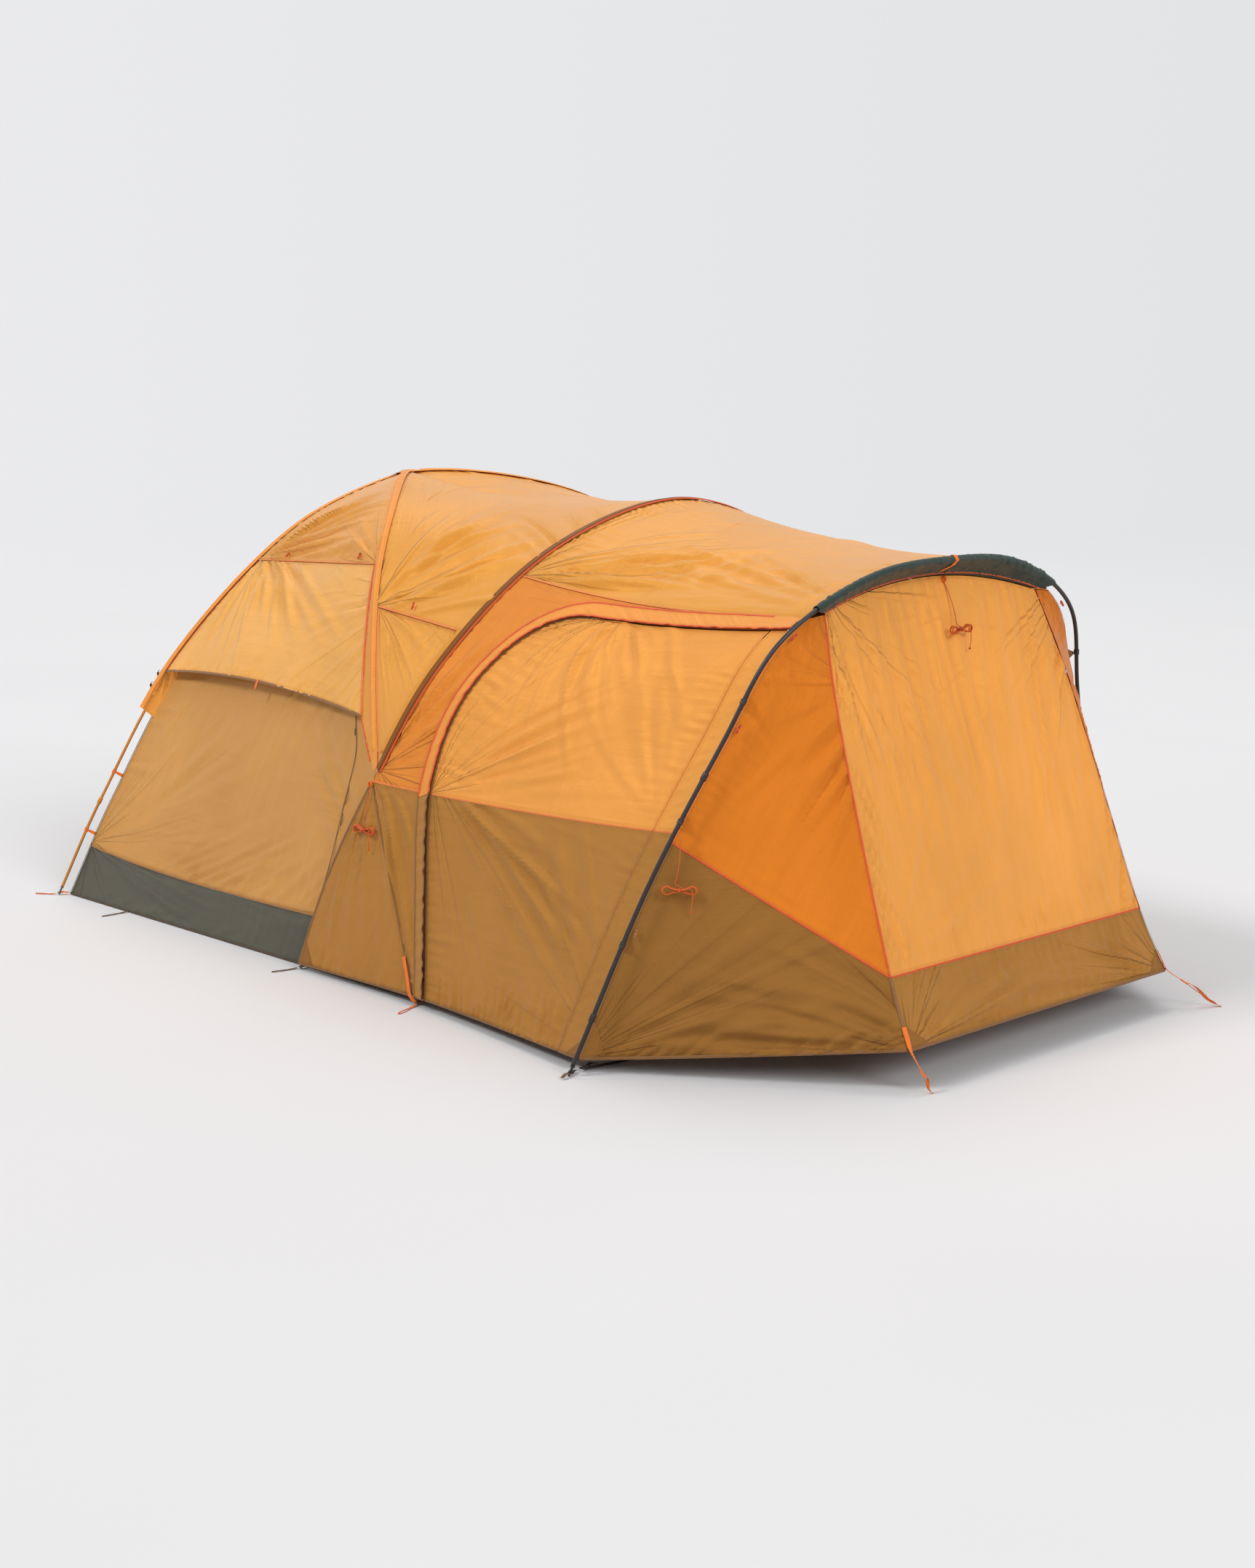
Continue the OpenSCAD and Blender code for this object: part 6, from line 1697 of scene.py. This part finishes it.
FEET = ((rear_half(POLE_GAP), rear_half(0), DOME_POLE_D, foot_rear + (30, 30, 0), "webbing", "steel"),
        (front_half(POLE_GAP, POLE_GAP), front_half(0, 0), DOME_POLE_D, foot_front + (-30, 30, 0), "webbing",
         "steel"),
        (hoop_half(POLE_GAP), hoop_half(0), DOME_POLE_D, foot_hoop + (0, 30, 0), "webbing_brown", "steel"),
        (porch_half, porch_half, PORCH_POLE_D, foot_porch + (-20, 44, 0), "webbing_black", "black"))
GROMMET = [(0, 6.2), (0, 10.2), (0.5, 11), (2.3, 11), (3, 10.2), (3, 8.6), (2.5, 7.4), (3, 6.6), (2.4, 5.8),
           (0.5, 5.8)]
PLUG_ROUND = ((-1, 0), (-0.94, 0.35), (-0.7, 0.71), (-0.35, 0.94), (0, 1))
tips, rings, webs = [], [], []
for _, side in SIDES:
    for c, middle_c, d, anchor, mat, tip_mat in FEET:
        plug = [(h * TIP_R, max(r * TIP_R, 0.2)) for h, r in PLUG_ROUND]
        plug += [(TIP_LEN - 7.5, TIP_R), (TIP_LEN - 6.4, TIP_R + 0.4), (TIP_LEN - 6, d / 2),
                 (TIP_LEN - 5.5, d / 2 + 0.5), (TIP_LEN - 0.5, d / 2 + 0.5), (TIP_LEN, d / 2 + 0.1)]
        tips.append(mirror_piece(lathe("tip", c[0], c[1] - c[0], plug, tip_mat), side))
        run = unit(middle_c[1] - middle_c[0])
        base = middle_c[0] + run * (RING_Z + 1.5 - TIP_R) / run[2] - (0, 0, 1.5)
        rings.append(mirror_piece(lathe("ring", base, (0, 0, 1), GROMMET, "steel", closed=True), side))
        eye = middle_c[0] + run * (RING_Z - TIP_R) / run[2]
        first = vec(eye[0], eye[1], RING_Z) + unit((anchor - eye) * (1, 1, 0)) * 8.5
        last, w = vec(anchor[0], anchor[1], RING_Z), np.linspace(0, 1, 12)[:, None]
        line = lerp(first, last, w) + UP * 2.2 * np.sin(w * math.pi)
        webs.append(tape("web", line, UP, WEB_W * 0.86, mat, None, -0.4, 1.8, side))
        # folded over and sewn down
        over = lerp(first, last, w * 0.45) + UP * (2.4 + 2 * np.sin(w * math.pi))
        webs.append(tape("web", over, UP, WEB_W * 0.8, mat, None, 0.2, 1.6, side))
merge("pole_tip_plugs", tips, "tent", ("pole_tips",))
merge("grommet_rings", rings, "tent", ("foot_grommets",))
merge("foot_web_tabs", webs, "tent", ("foot_webbing",))


def pole_clips(name, c, heights, d, target, hard, soft, width, spread, node):
    """Rings round a pole with webbing to the cloth beside it."""
    parts = []
    for _, side in SIDES:
        for z in heights:
            p, t = heading(c, z)
            ring = ring_profile(d / 2 + 0.7, d / 2 + 3, CLIP_LEN * 0.62)
            parts.append(mirror_piece(lathe("clip", p, t, ring, hard, closed=True), side))
            inward = target(z) - p
            n = unit(inward - t * np.dot(inward, t))
            reach = float(np.dot(inward, n))
            # a hook under the ring, and the webbing's sewn fold on it
            hook = bar("clip", p + n * (d / 2 + 2.2), p + n * (d / 2 + 11), 9, 5, t, hard)
            parts.append(mirror_piece(hook, side))
            k = np.linspace(-0.5, 0.5, 6)[:, None]
            a, b = p + n * (d / 2 + 6) + t * (width * k), p + n * (reach + 1.5) + t * (spread * k)
            parts.append(flat_triangle("clip", a, b, soft, side, 1.6))
    merge(name, parts, "tent", (node,))


pole_clips("leg_clip_set", rear_half(POLE_GAP), (300, 565), DOME_POLE_D, wall_rear, "plastic_orange",
           "webbing", 12, 15, "leg_clips")
pole_clips("porch_clip_set", porch_half, (460, 880, 1280), PORCH_POLE_D,
           lambda z: at_z(porch_half, z) + CREASE_OFFSET, "plastic", "binding_tan", 14, 62, "porch_clips")

# toggles, each with its short elastic
TOGGLE_LEN, TOGGLE_R, OUT_GAP = 34, 4, 4.5
TOGGLE_HALF = [(0, 0.4), (0.3, 2.2), (1.2, 3.4), (3, TOGGLE_R), (TOGGLE_LEN / 2 - 4, TOGGLE_R),
               (TOGGLE_LEN / 2 - 2.4, 2.9)]
TOGGLE_PROFILE = TOGGLE_HALF + [(TOGGLE_LEN - h, r) for h, r in TOGGLE_HALF[::-1]]


def toggle(p, q, out, mat, side):
    n = unit(np.asarray(out, float))
    a, d = p + n * (TOGGLE_R + OUT_GAP), unit(q - p)
    body = lathe("toggle", a, d, TOGGLE_PROFILE, mat, 20)
    c = a + d * TOGGLE_LEN / 2
    angle = np.linspace(0, 2 * math.pi, 26)
    loop = c + np.outer(np.cos(angle) * 4.1, np.cross(d, n))
    loop = loop + np.outer(np.sin(angle) * (TOGGLE_R + 2.2) - 2.4, n)
    elastic = tape("toggle", loop, unit(loop - c), 3.4, "webbing", None, 0, 0.9)
    return [mirror_piece(body, side), mirror_piece(elastic, side)]


def seam_toggle(ca, cb, a0, b0, s, side):
    def on_cloth(w, k):
        return lerp(at(ca, lerp(a0, 1, w)), at(cb, lerp(b0, 1, w)), k)
    p, q = on_cloth(0.055, s), on_cloth(0, s)
    return toggle(p, q, np.cross(on_cloth(0.055, s + 0.05) - p, p - q), "plastic_red", side)


def crease_toggle(z, mat, side):
    p = at_z(crease_line, z) + (20, 6, 0)
    return toggle(p, p + at_z(crease_line, z - 40) - at_z(crease_line, z), (0.6, -0.8, 0), mat, side)


parts = []
for _, side in SIDES:
    for s in (0.25, 0.85):
        parts += seam_toggle(rear_line, front_line, rear_seam, front_seam, s, side)
    parts += seam_toggle(front_line, hoop_line, vent_share, hoop_share, 0.42, side)
    for z, mat in ((1200, "plastic_red"), (1500, "plastic_red"), (510, "plastic_tan")):
        parts += crease_toggle(z, mat, side)
for s in (0.2, 0.8):
    parts += seam_toggle(far(rear_line), rear_line, rear_seam, rear_seam, s, 1)
merge("toggle_set", parts, "tent", ("toggles",))
merge("guy_loop_set", guy_loops, "tent", ("guy_loops",))

# ladder-lock buckles and straps
STRAP_W = 20
near_corner, far_corner = front_edge[0] + (8, -4, -4), far(front_edge[0]) + (8, 6, -4)
near_tail = vec(REAR_X + FRONT_X + 66, -FRONT_W / 2 + 44, 1.5)
far_tail = vec(REAR_X + FRONT_X + 144, FRONT_W / 2 + 165, 1.5)
TAILS = ((near_corner, near_tail, 0.5, 1), (far_corner, far_tail, 0.3, -1))


def ladder_lock(a, b, share, mat, side=1):
    p, d = lerp(a, b, share), unit(b - a)
    across = unit(np.cross(UP, d))
    face = np.cross(d, across)
    out = []
    for k in (-1, 1):
        rail = p + across * k * (STRAP_W / 2 + 2.2)
        out.append(bar("lock", rail - d * 14, rail + d * 14, 4.4, 5, face, mat))
    reach = across * (STRAP_W / 2 + 3)
    for h, wide, thick in ((-11.8, 4, 4.4), (0.5, 3.4, 3.6), (11.6, 4.6, 5)):
        out.append(bar("lock", p + d * h - reach, p + d * h + reach, wide, thick, face, mat))
    return [mirror_piece(o, side) for o in out]


parts = [o for corner, tail, share, _ in TAILS for o in ladder_lock(corner, tail, share, "plastic_orange")]
for _, side in SIDES:
    parts += ladder_lock(foot_porch + (0, 50, RING_Z), foot_porch + (0, 100, RING_Z), 0.5, "plastic", side)
merge("ladder_lock_set", parts, "tent", ("strap_buckles",))

STRAP = (None, -0.5, 1.8)
parts = []
for corner, tail, share, side in TAILS:
    d, edge = unit(tail - corner), front_edge if side > 0 else far(front_edge)
    across = unit(np.cross(UP, d))
    face = np.cross(d, across)
    face = face * np.sign(face[2])
    ridge_out = unit(vec(0.9, -0.45 * side, 0))
    # sewn down the corner's ridge, then out to the buckle
    rise = at_z(edge, np.linspace(FRONT_LIFT + 72, FRONT_LIFT, 8)) + ridge_out * 4
    lead = spline(list(rise[::2]) + [corner + d * 8, lerp(corner, tail, share) - d * 12], n=6)
    turn = smooth_step(np.linspace(-0.6, 1, len(lead)))[:, None]
    outs = unit(lerp(ridge_out[None], face[None], turn))
    parts.append(tape("strap", lead, outs, STRAP_W - 3, "webbing", *STRAP))
    # the loose tail, twisted a little, its end lying on the ground
    start = lerp(corner, tail, share)
    k = np.linspace(0, 1, 34)[:, None]
    bow = across * 9 * np.sin(math.pi * k) + face * 7 * np.sin(2 * math.pi * k)
    line = lerp(start + d * 3, tail, k) + bow
    line[:, 2] = np.maximum(line[:, 2], 2)
    twist = np.radians(np.interp(k[:, 0], [0, 0.15, 0.6, 0.86, 1], [0, 5, 48, 20, 0]))[:, None]
    outs = unit(face * np.cos(twist) + across * np.sin(twist))
    parts.append(tape("strap", line, outs, STRAP_W - 3, "webbing", *STRAP))
    # its shock-cord loop beside the tail
    loop = lerp(start + d * 10 - across * 5, tail - d * 26 - across * 5, k) - face * 3 * np.sin(math.pi * k)
    loop[:, 2] = np.maximum(loop[:, 2], 1.6)
    parts.append(tube("strap", loop, 1.5, "cord", 8))
tie_y = PORCH_W / 2 - 90
y = np.concatenate([-tie_y + np.linspace(0, 200, 16), np.linspace(-tie_y + 240, tie_y - 240, 60),
                    tie_y - np.linspace(200, 0, 16)])
z = np.interp(np.minimum(y + tie_y, tie_y - y), [0, 60, 160, 400], [RING_Z + 4, RING_Z, 3, 1.2])
line = np.stack([foot_porch[0] + 5 * np.sin(y / 260), y, z], -1)
parts.append(tape("strap", line, (0.06, 0, 1), STRAP_W, "webbing_black", None, 0, 1.8))
# the short end through each buckle, and the foot's pull tab
SHORT_ENDS = ((foot_porch + (0, 84, RING_Z + 3), foot_porch + (-26, 150, 3), 9, STRAP_W - 3, "webbing_black"),
              (foot_porch + (4, -9, RING_Z - 1), foot_porch + (14, -44, 2.2), 4, 15, "webbing_brown"))
for _, side in SIDES:
    for a, b, rise, wide, mat in SHORT_ENDS:
        line = lerp(a, b, ROUND) + vec(0, 0, rise) * np.sin(math.pi * ROUND)
        parts.append(tape("strap", line, UP, wide, mat, None, 0, 1.6, side))
merge("strap_set", parts, "tent", ("tie_straps",))

# loops of shock cord for the stakes: where each one starts, its direction, length and webbing
STAKES = ((foot_rear + (-16, -16, 0), 215, 80, "webbing"),
          (vec(lerp(foot_rear[0], foot_hoop[0], 0.28), -HALF_W + 30, 0), -92, 110, "webbing_brown"),
          (foot_hoop + (-10, -18, 0), -105, 90, "webbing_brown"),
          (foot_front + (10, -18, 0), -70, 110, "webbing"))
LOOP_HALF = [(0.22, 1.5), (0.36, 4.2), (0.6, 7.6), (0.86, 8.6), (1.02, 6.6), (1.09, 2.4)]
parts = []
rng = np.random.RandomState(77)
for _, side in SIDES:
    for p, turn, length, mat in STAKES:
        c, s = math.cos(math.radians(turn)), math.sin(math.radians(turn))
        along, over = vec(c, s, 0), vec(-s, c, 0)
        base = vec(p[0], p[1], 1.6)
        cord = "cord" if mat == "webbing" else "cord_dark"
        pts = [base + along * length * a - over * b for a, b in LOOP_HALF]
        pts += [base + along * length * a + over * b * rng.uniform(0.8, 1.05) for a, b in LOOP_HALF[::-1]]
        parts.append(mirror_piece(tube("stake", spline(pts, n=6), 1.5, cord, 10), side))
        tab = base + np.outer(np.linspace(-6, length * 0.30, 12), along)
        tab[:, 2] = 2.2 + 2.5 * np.linspace(1, 0, 12)
        parts.append(tape("stake", tab, UP, 13, mat, None, 0, 1.6, side))
        knot = knot_line(base + along * length * 1.09 + (0, 0, 1.2), 2, 1.2, 1.2, 40)
        parts.append(mirror_piece(tube("stake", knot, 1.3, cord, 8), side))
merge("stake_loop_set", parts, "tent", ("stake_loops",))

# zips: tape and coil beside the door, and their sliders
ZIP_IN = 12


def zip_point(w):
    u, v = zip_low(w)[0]
    return side_point(u - 0.011, max(float(v), 0.02)) + vec(0, ZIP_IN, 0)


zip_a, zip_b = zip_point(0.05), zip_point(0.72) + (0, 1.2, 0)
zip_dir = unit(zip_b - zip_a)
zip_in = unit(np.cross(zip_dir, vec(1, 0, 0)))
zip_in = zip_in * np.sign(zip_in[1])
share_in = 2.7 * 6 / float(np.linalg.norm(side_point(0.5, 1) - side_point(0.5, 0)))
zip_path = np.vstack([arch_path[1:], top_path[1:]])
curved = shifted(zip_path[zip_path[:, 0] <= HINGE_U], share_in)
curved_p = side_point(curved[:, 0], curved[:, 1])
side_n = normals_of(np.stack([curved_p, side_point(curved[:, 0], curved[:, 1] - 0.01)], 0))[0]
side_n = side_n * np.sign((side_n * (curved_p - SIDE_MIDDLE)).sum(-1, keepdims=True))
straight = lerp(zip_a[None], zip_b[None], np.linspace(0, 1, 120)[:, None])
arc = resampled(curved_p - side_n * ZIP_IN, 8)
arc_n = at(side_n, np.linspace(0, 1, len(arc)))
foot = zip_a + zip_dir * 30
pull = foot + zip_dir * lerp(10, -22, ROUND) + zip_in * (7.4 + 2.2 * np.sin(math.pi * ROUND))
for tag, side in SIDES:
    parts = [tape("zip", line, out, w, mat, None, lift, thick, side)
             for line, out in ((straight, -zip_in), (arc, arc_n))
             for w, mat, lift, thick in ((6, "zip_coil", -1.2, 2.4), (24, "binding_tan", -0.4, 0.8))]
    merge(f"zip_track_{tag}", parts, "tent", (f"zip_{tag}",))
    cheeks = []
    for k, d0, d1, wide, thick in ((-2.9, 0, 18, 15, 2.2), (2.9, 0, 18, 15, 2.2), (5.6, 6, 16, 4, 3.4)):
        a, b = (foot + zip_dir * d + zip_in * k for d in (d0, d1))
        cheeks.append(bar("slider", a, b, wide, thick, zip_in, "plastic"))
    cheeks.append(tape("slider", pull, zip_in, 7, "webbing", None, -0.8, 1.6))
    for piece in cheeks:
        mirror_piece(piece, side)
    merge(f"zip_slider_{tag}", cheeks, f"slider_{tag}", (f"slider_{tag}",))
